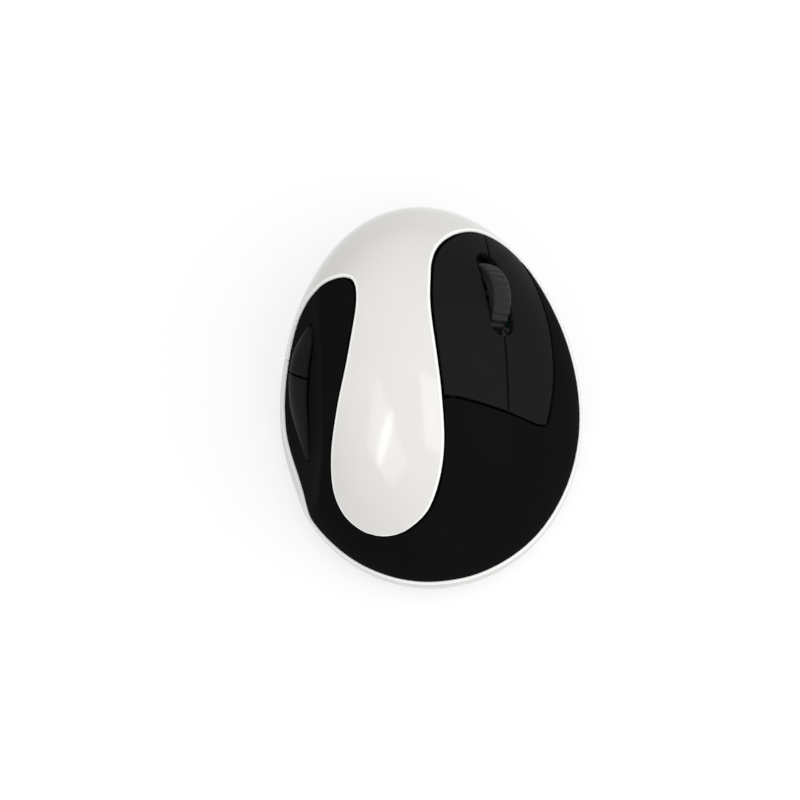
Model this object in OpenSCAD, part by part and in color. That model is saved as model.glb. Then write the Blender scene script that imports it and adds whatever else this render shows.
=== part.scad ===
// Vertical ergonomic mouse for the right hand: an egg-shaped housing with a white hood and spine,
// black grip and buttons let into it, and the working parts inside.
// Axes: +Z up, +Y to the front, +X to the finger side. The origin is on the desk under the middle.
// The outer skin is one smooth dome. A place on it is given on a flat map, in percent: the crown is
// [0, 0], the widest line round the body is at radius 100, u runs to the finger side, v to the front.

/* [Housing form] */
// Length from back to front
body_len = 118; // [106:1:130]
// Width across the thumb and finger sides
body_w = 94; // [86:1:104]
// Height of the black skin's crown above the desk
body_h = 65.5; // [60:0.5:72]
// Height of the widest line above the desk
girth_h = 14; // [12:0.5:16]
// How much the outline narrows to the front
egg = 0.08; // [0.04:0.01:0.12]
// Crown's place to the side of the middle
crown_x = -13; // [-16:0.5:-9]
// Crown's place in front of the middle
crown_y = 15; // [10:0.5:18]
// Roundness of the shoulders, 1 for an ellipse
shoulder = 0.95; // [0.9:0.01:1.05]
// Extra flattening of the finger side
finger_flat = 0.12; // [0.05:0.01:0.2]
// How far the skin draws in between the widest line and the base
tuck = 4; // [2.5:0.5:5]
// Depth of the hollow for the thumb
hollow_depth = 6; // [4:0.5:7]

/* [Skin panels] */
// Wall of the panels
wall = 2.2; // [1.8:0.1:2.6]
// How far the white panels stand proud of the black ones
white_proud = 0.5; // [0.2:0.1:0.8]
// Gap between fixed panels
panel_gap = 0.5; // [0.3:0.1:0.7]
// Groove between the hood and the grip
hood_gap = 0.9; // [0.5:0.1:1.2]
// Gap round the main buttons, which they need to travel
button_gap = 1; // [0.8:0.1:1.3]
// Gap round the side buttons
side_gap = 0.6; // [0.5:0.1:0.8]
// How far the side buttons stand out of the hollow
side_stand = 3.4; // [2.5:0.1:4]

/* [Base] */
// Thickness of the sliding feet
foot_t = 0.8; // [0.5:0.1:1.2]
// Thickness of the base plate
base_t = 2.5; // [2.2:0.1:3]
// Gap between the base plate and the lower case
case_gap = 0.3; // [0.2:0.1:0.5]
// Height of the lip that locates the lower case
lip_h = 4; // [3:0.5:5]
// Thickness of the lip and of the battery tray's walls
rib_t = 1.5; // [1.2:0.1:2]
// Thickness of the battery door
door_t = 1.5; // [1.2:0.1:1.8]
// Clearance round the battery door
door_gap = 0.3; // [0.2:0.05:0.5]

/* [Boards and screws] */
// Thickness of the circuit boards
board_t = 1.2; // [1:0.1:1.6]
// Height of the main board above the desk
board_z = 8; // [7.6:0.1:8.8]
// Radius of a screw's shank
screw_r = 1; // [0.8:0.1:1.2]
// Clearance of a shank in its hole
screw_play = 0.06; // [0.04:0.01:0.1]
// Radius of the screw bosses and posts
boss_r = 3; // [2.6:0.1:3.4]

/* [Scroll wheel] */
// Radius of the tyre
wheel_r = 12; // [11:0.5:13]
// Width of the tyre
wheel_w = 6.4; // [5.6:0.2:7]
// How far the wheel stands out of the skin
wheel_stand = 3.5; // [2.5:0.5:4.5]
// Radius of the axle
axle_r = 1.2; // [1:0.1:1.4]
// Play between a turning shaft and its hole, on the radius
run_play = 0.05; // [0.03:0.01:0.08]
// Travel of the wheel when it is pressed
wheel_travel = 0.5; // [0.3:0.1:0.6]

/* [Buttons] */
// Length of a main button's switch
switch_l = 12.8; // [12:0.2:13.4]
// Width of a main button's switch
switch_w = 5.8; // [5.4:0.2:6.4]
// Height of a main button's switch
switch_h = 6.5; // [6:0.1:7]
// Side of a small square switch
tact_a = 6; // [5.6:0.2:6.4]
// Height of a small square switch
tact_h = 3.5; // [3:0.1:4]
// Height of a plunger above its switch
plunger_h = 1; // [0.8:0.1:1.2]
// Travel of a main button over its switch
click_travel = 0.6; // [0.4:0.1:0.8]
// Travel of a side button
side_travel = 0.7; // [0.4:0.1:0.9]
// Gap between a plunger and what presses it
press_gap = 0.1; // [0.05:0.05:0.2]
// Radius of the trunnion that a main button turns on
pivot_r = 1.5; // [1.2:0.1:1.8]

/* [Battery] */
// Radius of a cell
cell_r = 5.2; // [5.2:0.05:5.3]
// Length of a cell with its nub
cell_l = 44.5; // [44:0.1:44.8]

/* [Hidden] */
$fn = 48;

white = "#dedbd6";
black = "#1c1c1e";
dark = "#2b2b2e";
steel = "#b9bbbd";
board_green = "#1f5a3a";

// Skin of the dome
tuck_span = 0.18;                 // map radius between the widest line and the base, as a share
hollow_at = [-66, -20];           // middle of the thumb hollow on the map
hollow_half = [35, 48];           // its half width and half length on the map
hollow_turn = 27;                 // how far its length leans from the front, in degrees
map_mm = 0.85;                    // size of one percent of the map on the skin

function outline_peak(k) =
    let (v = (1 - sqrt(1 + 8*k*k))/(4*k))
    sqrt(1 - v*v)*(1 - k*v);
half_w = body_w/2/outline_peak(egg);

function polar(s, a) = [s*cos(a), s*sin(a)];

function hollow(m) =
    let (d = m - hollow_at,
         across = d[0]*cos(hollow_turn) - d[1]*sin(hollow_turn),
         along = d[0]*sin(hollow_turn) + d[1]*cos(hollow_turn),
         r = norm([across/hollow_half[0], along/hollow_half[1]]))
    r < 1 ? hollow_depth*pow(1 - pow(r, 3), 2) : 0;

// Point of the skin over map place m, drawn in by inset
function skin(m, inset = 0) =
    let (s = norm(m)/100,
         a = atan2(m[1], m[0]),
         rise = 90*min(s, 1),
         low = max(0, s - 1)/tuck_span,
         reach = pow(sin(rise), 1 + finger_flat*pow(max(0, cos(a)), 2)),
         lean = pow(cos(rise), 2),
         rx = half_w - inset - tuck*low*low,
         ry = body_len/2 - inset - tuck*low*low,
         top = body_h - girth_h - inset)
    [rx*reach*cos(a)*(1 - egg*reach*sin(a)) + crown_x*lean + hollow(m),
     ry*reach*sin(a) + crown_y*lean,
     s < 1 ? girth_h + top*pow(max(0, cos(rise)), shoulder) : girth_h + (foot_t - girth_h)*low];

// Map radius of height z below the widest line
function level(z) = 100*(1 + tuck_span*(girth_h - z)/(girth_h - foot_t));

// Smooth curve through points p, at t counted in points
function pick(p, i) = p[max(0, min(len(p) - 1, i))];
function curve(p, t) =
    let (i = max(0, min(floor(t), len(p) - 2)), f = t - i,
         a = pick(p, i - 1), b = p[i], c = p[i + 1], d = pick(p, i + 2))
    0.5*(2*b + (c - a)*f + (2*a - 5*b + 4*c - d)*f*f + (3*b - a - 3*c + d)*f*f*f);
function part_of(p, from, to) = [for (i = [from:to]) p[i]];
function turned(p) = [for (i = [len(p) - 1:-1:0]) p[i]];
function steps(from, to, n) = [for (i = [0:n]) from + (to - from)*i/n];

// Place between edges p and q at t, w of the way across, with gaps (mm) kept at the two edges
function across(p, q, t, w, gap_p = 0, gap_q = 0) =
    let (a = curve(p, t), b = curve(q, t), wide = norm(b - a)*map_mm,
         f = gap_p/wide + w*(1 - (gap_p + gap_q)/wide))
    a + (b - a)*f;

// White hood and spine: left and right edge from the back tip to the front
cover_left = [[-22, -70.6], [-30, -68.4], [-38.3, -62], [-40.7, -53], [-36.5, -42], [-28, -30], [-20, -18],
    [-15, -6], [-13.8, 2], [-15.6, 8], [-20.5, 11.6], [-30, 14], [-42, 15.9], [-53, 18.6], [-64, 19],
    [-73, 15.2], [-79, 9.4]];
cover_right = [[-12.6, -70.5], [-5.5, -67.8], [4, -61.5], [11, -52], [16, -41], [18.2, -28], [18.8, -14],
    [18.6, -1], [17.5, 10], [16.8, 18], [17.9, 26], [21, 34], [25.5, 42], [31.5, 49.8], [39, 55],
    [50, 57.8], [60, 52.6]];
cover_last = len(cover_left) - 1;
cover_fill = 5;                   // how early the rows bend forward to the hood's lower edge
seam_rise = 6;                    // how late the hood's seam climbs to the panels at its two ends

// Seam between the hood and the lower case, from the thumb side to the finger side
function seam(w) =
    let (p = cover_left[cover_last], q = cover_right[cover_last],
         from = atan2(p[1], p[0]), to = atan2(q[1], q[0]),
         end = w < 0.5 ? norm(p) : norm(q))
    polar(100 - (100 - end)*pow(abs(2*w - 1), seam_rise), from + (to - from)*w);
// Round back end of the spine between the two edges
end_reach = 1.5;                  // number of points over which its curve dies away
function spine_end(w) = curve([cover_left[1], cover_left[0], cover_right[0], cover_right[1]], 1 + w);
function cover_place(t, w) =
    across(cover_left, cover_right, t, w)
    + pow(t/cover_last, cover_fill)*(seam(w) - across(cover_left, cover_right, cover_last, w))
    + pow(max(0, 1 - t/end_reach), 2)*(spine_end(w) - across(cover_left, cover_right, 0, w));

// Main buttons: the split between them, and the lower edge of the right one, from back to front
button_split = [[44.5, -27], [45.8, -14], [46, -2], [45, 7], [43.4, 14.5], [41.6, 23], [39.9, 31], [38, 38],
    [36.3, 45], [34.9, 51.5]];
left_inner = concat([[18.3, -27]], part_of(cover_right, 6, 13), [[33.2, 51.2]]);
right_lower = [[62.3, -25.7], [66, -15], [68, -4], [68.4, 5], [68, 13], [67, 21], [65, 29], [62.5, 37],
    [59, 45], [54.3, 54.6]];
button_last = len(button_split) - 1;
right_front = 3.2;                // how far the right button's front edge bows forward on the map

// Black grip: inner edge along the cover and the buttons, outer edge along the lower case
thumb_end = 10;                   // cover edge point where the thumb panel's front edge starts
grip_inner = concat(turned(part_of(cover_left, 0, thumb_end)), part_of(cover_right, 0, 4),
    [[18.2, -31.5], [20, -28], [42, -27.6], [60.8, -26.7]], part_of(right_lower, 1, button_last));
grip_outer = [[-79, 9.4], [-84.5, 4], [-89, -2], [-92.5, -9], [-95.2, -20], [-93, -33], [-86, -47],
    [-76, -60], [-63, -73], [-47, -84.5], [-31, -91.5], [-14, -95.5], [3, -96], [25, -92.5], [45, -84],
    [61, -73], [71, -62], [79, -50], [84.5, -39], [88, -28], [89.8, -19], [90, -9], [88.8, 1], [86.5, 9.5],
    [83.5, 17.5], [79.5, 25.5], [74.5, 33.5], [68, 42.5], [60, 52.6]];
grip_last = len(grip_outer) - 1;
front_reach = 6;                  // number of points over which the thumb panel's front edge curve dies away

hood_end = thumb_end + 5;          // grip point where the groove narrows from the hood to the buttons
function grip_place(t, w) =
    let (edge = thumb_end + (cover_last - thumb_end)*w,
         bow = curve(cover_left, edge) - across(grip_inner, grip_outer, 0, w),
         groove = panel_gap + (hood_gap - panel_gap)*max(0, min(1, hood_end - t)))
    across(grip_inner, grip_outer, t, w, groove) + pow(max(0, 1 - t/front_reach), 2)*bow;

// Side buttons: one leaf in the thumb hollow, upper and lower edge from the front tip to the back tip
leaf_upper = [[-50, 5.2], [-53.3, -1.2], [-59.2, -5.8], [-64, -13.5], [-67.5, -24], [-73.4, -36]];
leaf_lower = [[-51.2, 7], [-63, 7.4], [-71.5, 4.4], [-78.5, -3.5], [-82, -15.5], [-75, -35.2]];
leaf_last = len(leaf_upper) - 1;
leaf_split = 2.45;                // where the leaf is parted into the forward and the back button

// Working frames: finger side under the wheel, thumb side behind the leaf
wheel_at = [42.8, 16.8];
finger_yaw = 9;
finger_tilt = 36;
leaf_at = [-62, -10];
thumb_yaw = 8;
thumb_tilt = 71;
finger_o = skin(wheel_at);
thumb_o = skin(leaf_at);
function turn_z(v, a) = [v[0]*cos(a) - v[1]*sin(a), v[0]*sin(a) + v[1]*cos(a), v[2]];
function tilt_y(v, a) = [v[0]*cos(a) + v[2]*sin(a), v[1], v[2]*cos(a) - v[0]*sin(a)];
function axes(yaw, tilt) = [for (e = [[1, 0, 0], [0, 1, 0], [0, 0, 1]]) turn_z(tilt_y(e, tilt), yaw)];
finger_axes = axes(finger_yaw, finger_tilt);
thumb_axes = axes(thumb_yaw, -thumb_tilt);
module finger_side() translate(finger_o) rotate([0, 0, finger_yaw]) rotate([0, finger_tilt, 0]) children();
module thumb_side() translate(thumb_o) rotate([0, 0, thumb_yaw]) rotate([0, -thumb_tilt, 0]) children();

// Height of the skin over a place in a working frame
function local(o, e, p) = [for (i = [0:2]) (p - o)*e[i]];
function seek(o, e, x, y, m, left) =
    left == 0 ? m :
    let (p = local(o, e, skin(m)),
         pu = local(o, e, skin(m + [1, 0])) - p,
         pv = local(o, e, skin(m + [0, 1])) - p,
         det = pu[0]*pv[1] - pv[0]*pu[1], dx = x - p[0], dy = y - p[1])
    seek(o, e, x, y, m + [(dx*pv[1] - dy*pv[0])/det, (dy*pu[0] - dx*pu[1])/det], left - 1);
function finger_skin(x, y) =
    local(finger_o, finger_axes, skin(seek(finger_o, finger_axes, x, y, wheel_at, 7)))[2];
function thumb_skin(x, y) =
    local(thumb_o, thumb_axes, skin(seek(thumb_o, thumb_axes, x, y, leaf_at, 7)))[2];

// Levels in the finger frame, from the skin down
wheel_z = wheel_stand - wheel_r;
finger_board_z = wheel_z - 8;
deck_top = finger_board_z - board_t - 2;
deck_t = 2;
deck_x = 17.5;
deck_back = -39;
deck_front = 18;
finger_board_back = -26;
switch_x = 13;
switch_y = 8;
press_y = switch_y + 2;
plunger_r = 1.2;
plunger_sunk = 1;                 // length of a plunger inside its switch
plunger_floor = 0.2;              // room left under a plunger at full travel
pusher_r = 2;
switch_top = finger_board_z + switch_h;
pivot_y = -29;
pivot_z = -11.5;
pivot_x = 12;
lug_w = 4;
lug_r = pivot_r + 1.1;
ear_t = 2;
ear_gap = 0.4;

// Openings for the wheel in the skin and in the boards, and the wheel's carrier
slot_end = 5.5;                    // room before and behind the wheel
slot_side = 1;                    // room beside it
slot_cut = 4;                     // depth of the cut past both faces of the skin
slot_l = 2*(sqrt(wheel_r*wheel_r - wheel_z*wheel_z) + slot_end);
slot_w = wheel_w + 2*slot_side;
well_end = 3;                     // room before and behind the wheel in the boards
well_l = 2*(wheel_r + well_end);
wheel_side = 1.4;                 // room between the wheel and its carrier
carrier_in = wheel_w/2 + wheel_side;
carrier_t = 1.6;
bar_h = 2;
bearing_r = 2.8;
axle_end = 0.4;                   // how far the axle stands out of the carrier
guide_pad = 2.4;                  // carrier beyond the middle of a guide post
carrier_out = carrier_in + carrier_t;
carrier_z = finger_board_z + tact_h + plunger_h + press_gap;
carrier_front = wheel_r + slot_side;
guide_r = 1.2;
guide_room = 0.3;                 // room for a guide post in the button board
guide_front = carrier_front + 2.8;
tact_y = -(wheel_r + 5.5);
guide_back = tact_y - tact_a/2 - 2;
encoder_t = 3.4;
encoder_w = 9;
encoder_over = 1;                 // height of the encoder over its rotor
encoder_up = 0.2;                 // height of the encoder over the carrier's underside
rotor_r = 2.5;
rotor_gap = 0.1;                  // room between the rotor and the carrier

// Levels in the thumb frame
side_board_z = -12.8;
side_x = [-14, 8];                // bracket behind the side buttons
side_y = [-17, 17];
side_edge = 1;                    // rim of the bracket round its board
forward_at = [1.2, 9.3];          // stems of the side buttons over their switches
back_at = [-8.5, -5];
bracket_t = 2;
bracket_top = side_board_z - board_t - 2;

// Base and what stands on it
base_top = foot_t + base_t;
case_low = base_top + case_gap;
lip_in = tuck*(1 - pow((girth_h - case_low)/(girth_h - foot_t), 2)) - wall - case_gap;
board_x = 15;
board_back = -4;
board_front = 42;
board_corner = 2;
board_posts = [[-12, 0], [12, 0], [-12, 38], [12, 38]];
post_r = 2.4;
sight = [8, 6];                   // opening of the main board under the sensor
// Place on the base, given as shares of the body's width and length
function on_base(p) = [p[0]*body_w, p[1]*body_len];
chassis_posts = [for (p = [[0.234, 0.203], [0.298, -0.034], [-0.223, 0.11], [-0.223, -0.034]]) on_base(p)];
case_bosses = [88, 205, 332];     // directions of the lower case's screw bosses, in degrees
sensor_at = [0, 12];
slider_at = [0, 31];
slider_travel = 3;
receiver_at = on_base([0.33, 0.076]);
plug_size = [4.5, 12, 11.5];
cap_size = [7, 15, 5];
bay_gap = 0.3;
bay_wall = 1.2;
bay_top = foot_t + cap_size[2] + plug_size[2] + bay_gap;
window = [10, 7];                 // opening under the sensor
knob = [5, 3];                    // knob of the power slider
knob_play = 0.3;
tray_y = -25;
cell_pitch = 2*cell_r + 1;        // distance between the cells' axes
cell_gap = 0.4;                   // room beside and over the cells
spring_room = 3.6;                // room at each end of a cell for its contacts
tray_half = [cell_l/2 + spring_room, cell_pitch/2 + cell_r + cell_gap];
tray_h = 2*(cell_r + cell_gap);
cell_z = base_top + cell_gap + cell_r;
door_ledge = 1.4;                 // width of the ledges at the door's two ends
door_rest = 0.8;                  // how much of a ledge the door covers
door_over = 1.3;                  // how far the door reaches past the tray in front and behind
door_half = [tray_half[0] - door_ledge + door_rest, tray_half[1] + door_over];
head_r = 2*screw_r;
head_h = 1;
head_play = 0.2;                  // room round and under a screw's head
screw_l = 7;
boss_in = 5;                      // distance of the lower case's bosses from its wall
notch_w = 2*boss_r + 1;           // notch for a boss in the base plate's lip
cross_size = [2.4, 0.5, 0.5];     // length, width and depth of a screw's cross slot
cut = 1;                          // overshoot of a cut past a face

function case_boss_at(a) =
    let (p = skin(polar(level(case_low), a), wall + boss_in))
    [p[0], p[1]];
grip_bosses = [on_base([0, -0.39]), on_base([0.394, -0.076])];
cover_bosses = [on_base([-0.16, 0.11]), on_base([-0.128, -0.059])];
screw_places = concat(chassis_posts, grip_bosses, [for (a = case_bosses) case_boss_at(a)]);

// Height of the skin over a place on the desk
function skin_z(x, y) =
    let (start = polar(asin(norm([x/half_w, 2*y/body_len]))/0.9, atan2(y, x)))
    skin(seek([0, 0, 0], [[1, 0, 0], [0, 1, 0], [0, 0, 1]], x, y, start, 9))[2];

// Closed solid between an outer and an inner grid of points
module grid_solid(outer, inner) {
    rows = len(outer);
    cols = len(outer[0]);
    n = rows*cols;
    rim = concat([for (c = [0:cols - 1]) c], [for (r = [1:rows - 1]) r*cols + cols - 1],
        [for (c = [cols - 2:-1:0]) (rows - 1)*cols + c], [for (r = [rows - 2:-1:1]) r*cols]);
    skin_faces = [for (r = [0:rows - 2], c = [0:cols - 2])
        let (i = r*cols + c)
        each [[i, i + cols + 1, i + 1], [i, i + cols, i + cols + 1]]];
    side_faces = [for (k = [0:len(rim) - 1])
        let (a = rim[k], b = rim[(k + 1) % len(rim)])
        each [[a, b, a + n], [b, b + n, a + n]]];
    polyhedron(concat([for (row = outer) each row], [for (row = inner) each row]),
        concat(skin_faces, [for (f = skin_faces) [f[2] + n, f[1] + n, f[0] + n]], side_faces));
}

// Closed ring between an outer and an inner grid whose rows run all the way round
module ring_solid(outer, inner) {
    rows = len(outer);
    cols = len(outer[0]);
    n = rows*cols;
    function at(r, c) = r*cols + c % cols;
    skin_faces = [for (r = [0:rows - 2], c = [0:cols - 1])
        each [[at(r, c), at(r + 1, c + 1), at(r, c + 1)], [at(r, c), at(r + 1, c), at(r + 1, c + 1)]]];
    edge_faces = [for (c = [0:cols - 1])
        let (a = at(0, c), b = at(0, c + 1), d = at(rows - 1, c), e = at(rows - 1, c + 1))
        each [[a, b, a + n], [b, b + n, a + n], [e, d, e + n], [d, d + n, e + n]]];
    polyhedron(concat([for (row = outer) each row], [for (row = inner) each row]),
        concat(skin_faces, [for (f = skin_faces) [f[2] + n, f[1] + n, f[0] + n]], edge_faces));
}

// Panel of the skin over a grid of map places
module panel(places, from = 0, to = wall) {
    grid_solid([for (row = places) [for (m = row) skin(m, from)]],
        [for (row = places) [for (m = row) skin(m, to)]]);
}

// Boss from height z up into the skin at its outer side, and the hole for a screw's shank
module skin_boss(p, z) {
    side = p + boss_r*p/norm(p);
    translate([p[0], p[1], z]) cylinder(h = skin_z(side[0], side[1]) - wall/2 - z, r = boss_r);
}
module screw_hole(l) {
    cylinder(h = l, r = screw_r + screw_play);
}

// Flat pieces with round ends or corners, standing on z = 0
module stadium(l, w, h) {
    linear_extrude(h) {
        square([l - w, w], center = true);
        for (x = [-1, 1]) translate([x*(l - w)/2, 0]) circle(w/2);
    }
}
module plate(low, high, r, h) {
    linear_extrude(h) {
        translate(low + [r, 0]) square(high - low - [2*r, 0]);
        translate(low + [0, r]) square(high - low - [0, 2*r]);
        for (x = [low[0] + r, high[0] - r], y = [low[1] + r, high[1] - r]) translate([x, y]) circle(r);
    }
}
module block(low, high) {
    translate(low) cube(high - low);
}
// Rod along X between two ends
module rod_x(from, to, r) {
    translate([from, 0, 0]) rotate([0, 90, 0]) cylinder(h = to - from, r = r);
}
// Screw standing on its head, head under z = 0
module screw(l) {
    cylinder(h = l, r = screw_r);
    difference() {
        translate([0, 0, -head_h]) cylinder(h = head_h, r = head_r);
        for (a = [0, 90]) rotate(a) block([-cross_size[0]/2, -cross_size[1]/2, -head_h - cut],
            [cross_size[0]/2, cross_size[1]/2, cross_size[2] - head_h]);
    }
}

// White panels
cover_rows = 44;
cover_cols = 18;
module top_cover() {
    color(white)
    difference() {
        union() {
            panel([for (i = steps(0, 1, cover_rows))
                [for (w = steps(0, 1, cover_cols)) cover_place(cover_last*i, w)]], -white_proud);
            for (p = cover_bosses) skin_boss(p, bridge_low + bridge_t);
        }
        at_each(cover_bosses) translate([0, 0, bridge_low]) screw_hole(bridge_t + screw_l);
    }
}

grip_cols = 84;
seam_cols = 34;
case_rows = 5;
// Upper edge of the lower case on the map, all the way round
case_edge = concat([for (t = steps(0, grip_last, grip_cols)) curve(grip_outer, t)],
    [for (i = [1:seam_cols - 1]) seam(1 - i/seam_cols)]);
function case_place(m, w) =
    let (a = atan2(m[1], m[0]), s = norm(m) + panel_gap/map_mm)
    polar(s + (level(case_low) - s)*w, a);
module lower_case() {
    color(white) {
        places = [for (w = steps(0, 1, case_rows)) turned([for (m = case_edge) case_place(m, w)])];
        difference() {
            union() {
                ring_solid([for (row = places) [for (m = row) skin(m, -white_proud)]],
                    [for (row = places) [for (m = row) skin(m, wall)]]);
                for (a = case_bosses) translate(concat(case_boss_at(a), case_low)) {
                    cylinder(h = girth_h - case_low, r = boss_r);
                    rotate(a) block([0, -rib_t/2, 0], [boss_in + wall/2, rib_t/2, lip_h]);
                }
            }
            for (a = case_bosses) translate(concat(case_boss_at(a), case_low - cut)) screw_hole(screw_l + cut);
        }
    }
}

// Black panels
grip_rows = 8;
leaf_rows = 10;
leaf_cols = 6;
grip_start = 0.28;                // where the grip begins on the thumb side, in points
grip_stop = 0.12;                 // where it ends on the finger side
leaf_room = 0.2;                  // room at the tips of the leaf's opening, in points
module grip_panel() {
    color(black)
    difference() {
        union() {
            panel([for (t = steps(grip_start, grip_last - grip_stop, grip_cols))
                [for (w = steps(0, 1, grip_rows)) grip_place(t, w)]]);
            for (p = grip_bosses) skin_boss(p, base_top);
        }
        panel([for (t = steps(-leaf_room, leaf_last + leaf_room, leaf_rows))
            [for (w = [0, 1]) across(leaf_upper, leaf_lower, t, w, -side_gap, -side_gap)]],
            -2*cut, wall + 2*cut);
        at_each(grip_bosses) translate([0, 0, base_top - cut]) screw_hole(screw_l + cut);
    }
}

// Opening for the wheel between the two main buttons
module wheel_slot() {
    finger_side() translate([0, 0, -wall - slot_cut]) rotate(90) stadium(slot_l, slot_w, wall + 2*slot_cut);
}
// Rib that presses the switch, and trunnion that the button turns on
module button_works(side) {
    finger_side() {
        low = switch_top + plunger_h + press_gap;
        translate([side*switch_x, press_y, low])
            cylinder(h = finger_skin(side*switch_x, press_y) - wall/2 - low, r = pusher_r);
        translate([side*pivot_x, pivot_y, pivot_z]) {
            rod_x(-lug_w/2, lug_w/2, lug_r);
            rod_x(-lug_w/2 - ear_gap - ear_t, lug_w/2 + ear_gap + ear_t, pivot_r);
            block([-lug_w/2, -lug_r, 0],
                [lug_w/2, lug_r, finger_skin(side*pivot_x, pivot_y - lug_r) - wall/2 - pivot_z]);
        }
    }
}
button_rows = 26;
button_cols = 7;
button_start = 0.02;              // where a main button begins along its edges, in points
left_end = button_last - 0.25;    // where the left and the right one end
right_end = button_last - 0.05;
front_bow = 6;                    // how late the right button's front edge bows forward
module left_button() {
    color(black)
    difference() {
        union() {
            panel([for (t = steps(button_start, left_end, button_rows))
                [for (w = steps(0, 1, button_cols))
                    across(left_inner, button_split, t, w, button_gap, panel_gap/2)]]);
            button_works(-1);
        }
        wheel_slot();
    }
}
module right_button() {
    color(black)
    difference() {
        union() {
            panel([for (t = steps(button_start, right_end, button_rows))
                [for (w = steps(0, 1, button_cols))
                    across(button_split, right_lower, t, w, panel_gap/2, panel_gap)
                    + [0, right_front*(1 - pow(2*w - 1, 2))*pow(t/button_last, front_bow)]]]);
            button_works(1);
        }
        wheel_slot();
    }
}

// Side button between two places along the leaf, with its flange and its stem
flange_gap = 0.3;                 // room between the flange and the grip
flange_in = wall + flange_gap;
flange_t = 1.2;
flange_w = 1.6;
stem_r = 1.6;
leaf_from = 0.12;                 // where the forward button's tip begins, in points
leaf_part = 0.04;                 // half the gap between the two buttons, in points
swell_tip = 0.7;                  // how blunt the leaf's swell is at its tips
swell_edge = 0.2;                 // share of the swell that its edges keep
swell_from = 0.05;                // where the swell's arch starts and how far it goes over the width
swell_span = 0.75;
function leaf_swell(t, w) =
    side_stand*pow(sin(180*max(0, min(1, t/leaf_last))), swell_tip)
    *(swell_edge + (1 - swell_edge)*sin(180*(swell_from + swell_span*w)));
module side_button(from, to, stem) {
    places = [for (t = steps(from, to, leaf_rows))
        [for (w = steps(0, 1, leaf_cols)) [t, w]]];
    function spot(p) = across(leaf_upper, leaf_lower, p[0], p[1]);
    grid_solid([for (row = places) [for (p = row) skin(spot(p)) + leaf_swell(p[0], p[1])*thumb_axes[2]]],
        [for (row = places) [for (p = row) skin(spot(p), flange_in + flange_t/2)]]);
    panel([for (t = steps(from, to, leaf_rows))
        [for (w = [0, 0.5, 1]) across(leaf_upper, leaf_lower, t, w, -flange_w, -flange_w)]],
        flange_in, flange_in + flange_t);
    low = side_board_z + tact_h + plunger_h + press_gap;
    thumb_side() translate([stem[0], stem[1], low])
        cylinder(h = thumb_skin(stem[0], stem[1]) - wall/2 - low, r = stem_r);
}
module forward_button() {
    color(dark) side_button(leaf_from, leaf_split - leaf_part, forward_at);
}
module back_button() {
    color(dark) side_button(leaf_split + leaf_part, leaf_last, back_at);
}

// Base plate with its lip, battery tray, posts and openings
outline_n = 96;
function base_outline(in) = [for (i = [0:outline_n - 1])
    let (p = skin(polar(level(foot_t), 360*i/outline_n), in))
    [p[0], p[1]]];
function tray_corner(grow) = tray_half + [grow, grow];
module tray_box(grow, from, to) {
    c = tray_corner(grow);
    block([-c[0], tray_y - c[1], from], [c[0], tray_y + c[1], to]);
}
module at_each(places) {
    for (p = places) translate([p[0], p[1], 0]) children();
}
module base_plate() {
    color(black)
    difference() {
        union() {
            translate([0, 0, foot_t]) linear_extrude(base_t) polygon(base_outline(0));
            translate([0, 0, base_top]) linear_extrude(lip_h) difference() {
                polygon(base_outline(-lip_in));
                polygon(base_outline(rib_t - lip_in));
                for (a = case_bosses) translate(case_boss_at(a)) rotate(a)
                    translate([0, -notch_w/2]) square([boss_in + wall, notch_w]);
            }
            tray_box(rib_t, foot_t, base_top + tray_h);
            at_each(board_posts) translate([0, 0, foot_t]) cylinder(h = board_z - foot_t, r = post_r);
            bay = [cap_size[0]/2 + bay_gap + bay_wall, cap_size[1]/2 + bay_gap + bay_wall];
            translate([receiver_at[0], receiver_at[1], 0])
                block([-bay[0], -bay[1], foot_t], [bay[0], bay[1], bay_top + bay_wall]);
        }
        tray_box(0, base_top, base_top + tray_h + cut);
        block([-tray_half[0] + door_ledge, tray_y - tray_half[1], foot_t - cut],
            [tray_half[0] - door_ledge, tray_y + tray_half[1], base_top + cut]);
        block([-door_half[0], tray_y - door_half[1], foot_t - cut],
            [door_half[0], tray_y + door_half[1], foot_t + door_t]);
        at_each(board_posts) translate([0, 0, base_top]) screw_hole(board_z);
        at_each(screw_places) translate([0, 0, foot_t - cut]) {
            screw_hole(base_t + 2*cut);
            cylinder(h = cut + head_h + head_play, r = head_r + head_play);
        }
        translate([sensor_at[0], sensor_at[1], foot_t - cut]) stadium(window[0], window[1], base_t + 2*cut);
        translate([slider_at[0], slider_at[1], foot_t - cut])
            stadium(knob[0] + slider_travel + 2*knob_play, knob[1] + 2*knob_play, base_t + 2*cut);
        translate([receiver_at[0], receiver_at[1], 0]) {
            c = [cap_size[0]/2 + bay_gap, cap_size[1]/2 + bay_gap];
            p = [plug_size[0]/2 + bay_gap, plug_size[1]/2 + bay_gap];
            block([-c[0], -c[1], foot_t - cut], [c[0], c[1], foot_t + cap_size[2] + bay_gap]);
            block([-p[0], -p[1], foot_t], [p[0], p[1], bay_top]);
        }
    }
}

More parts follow.
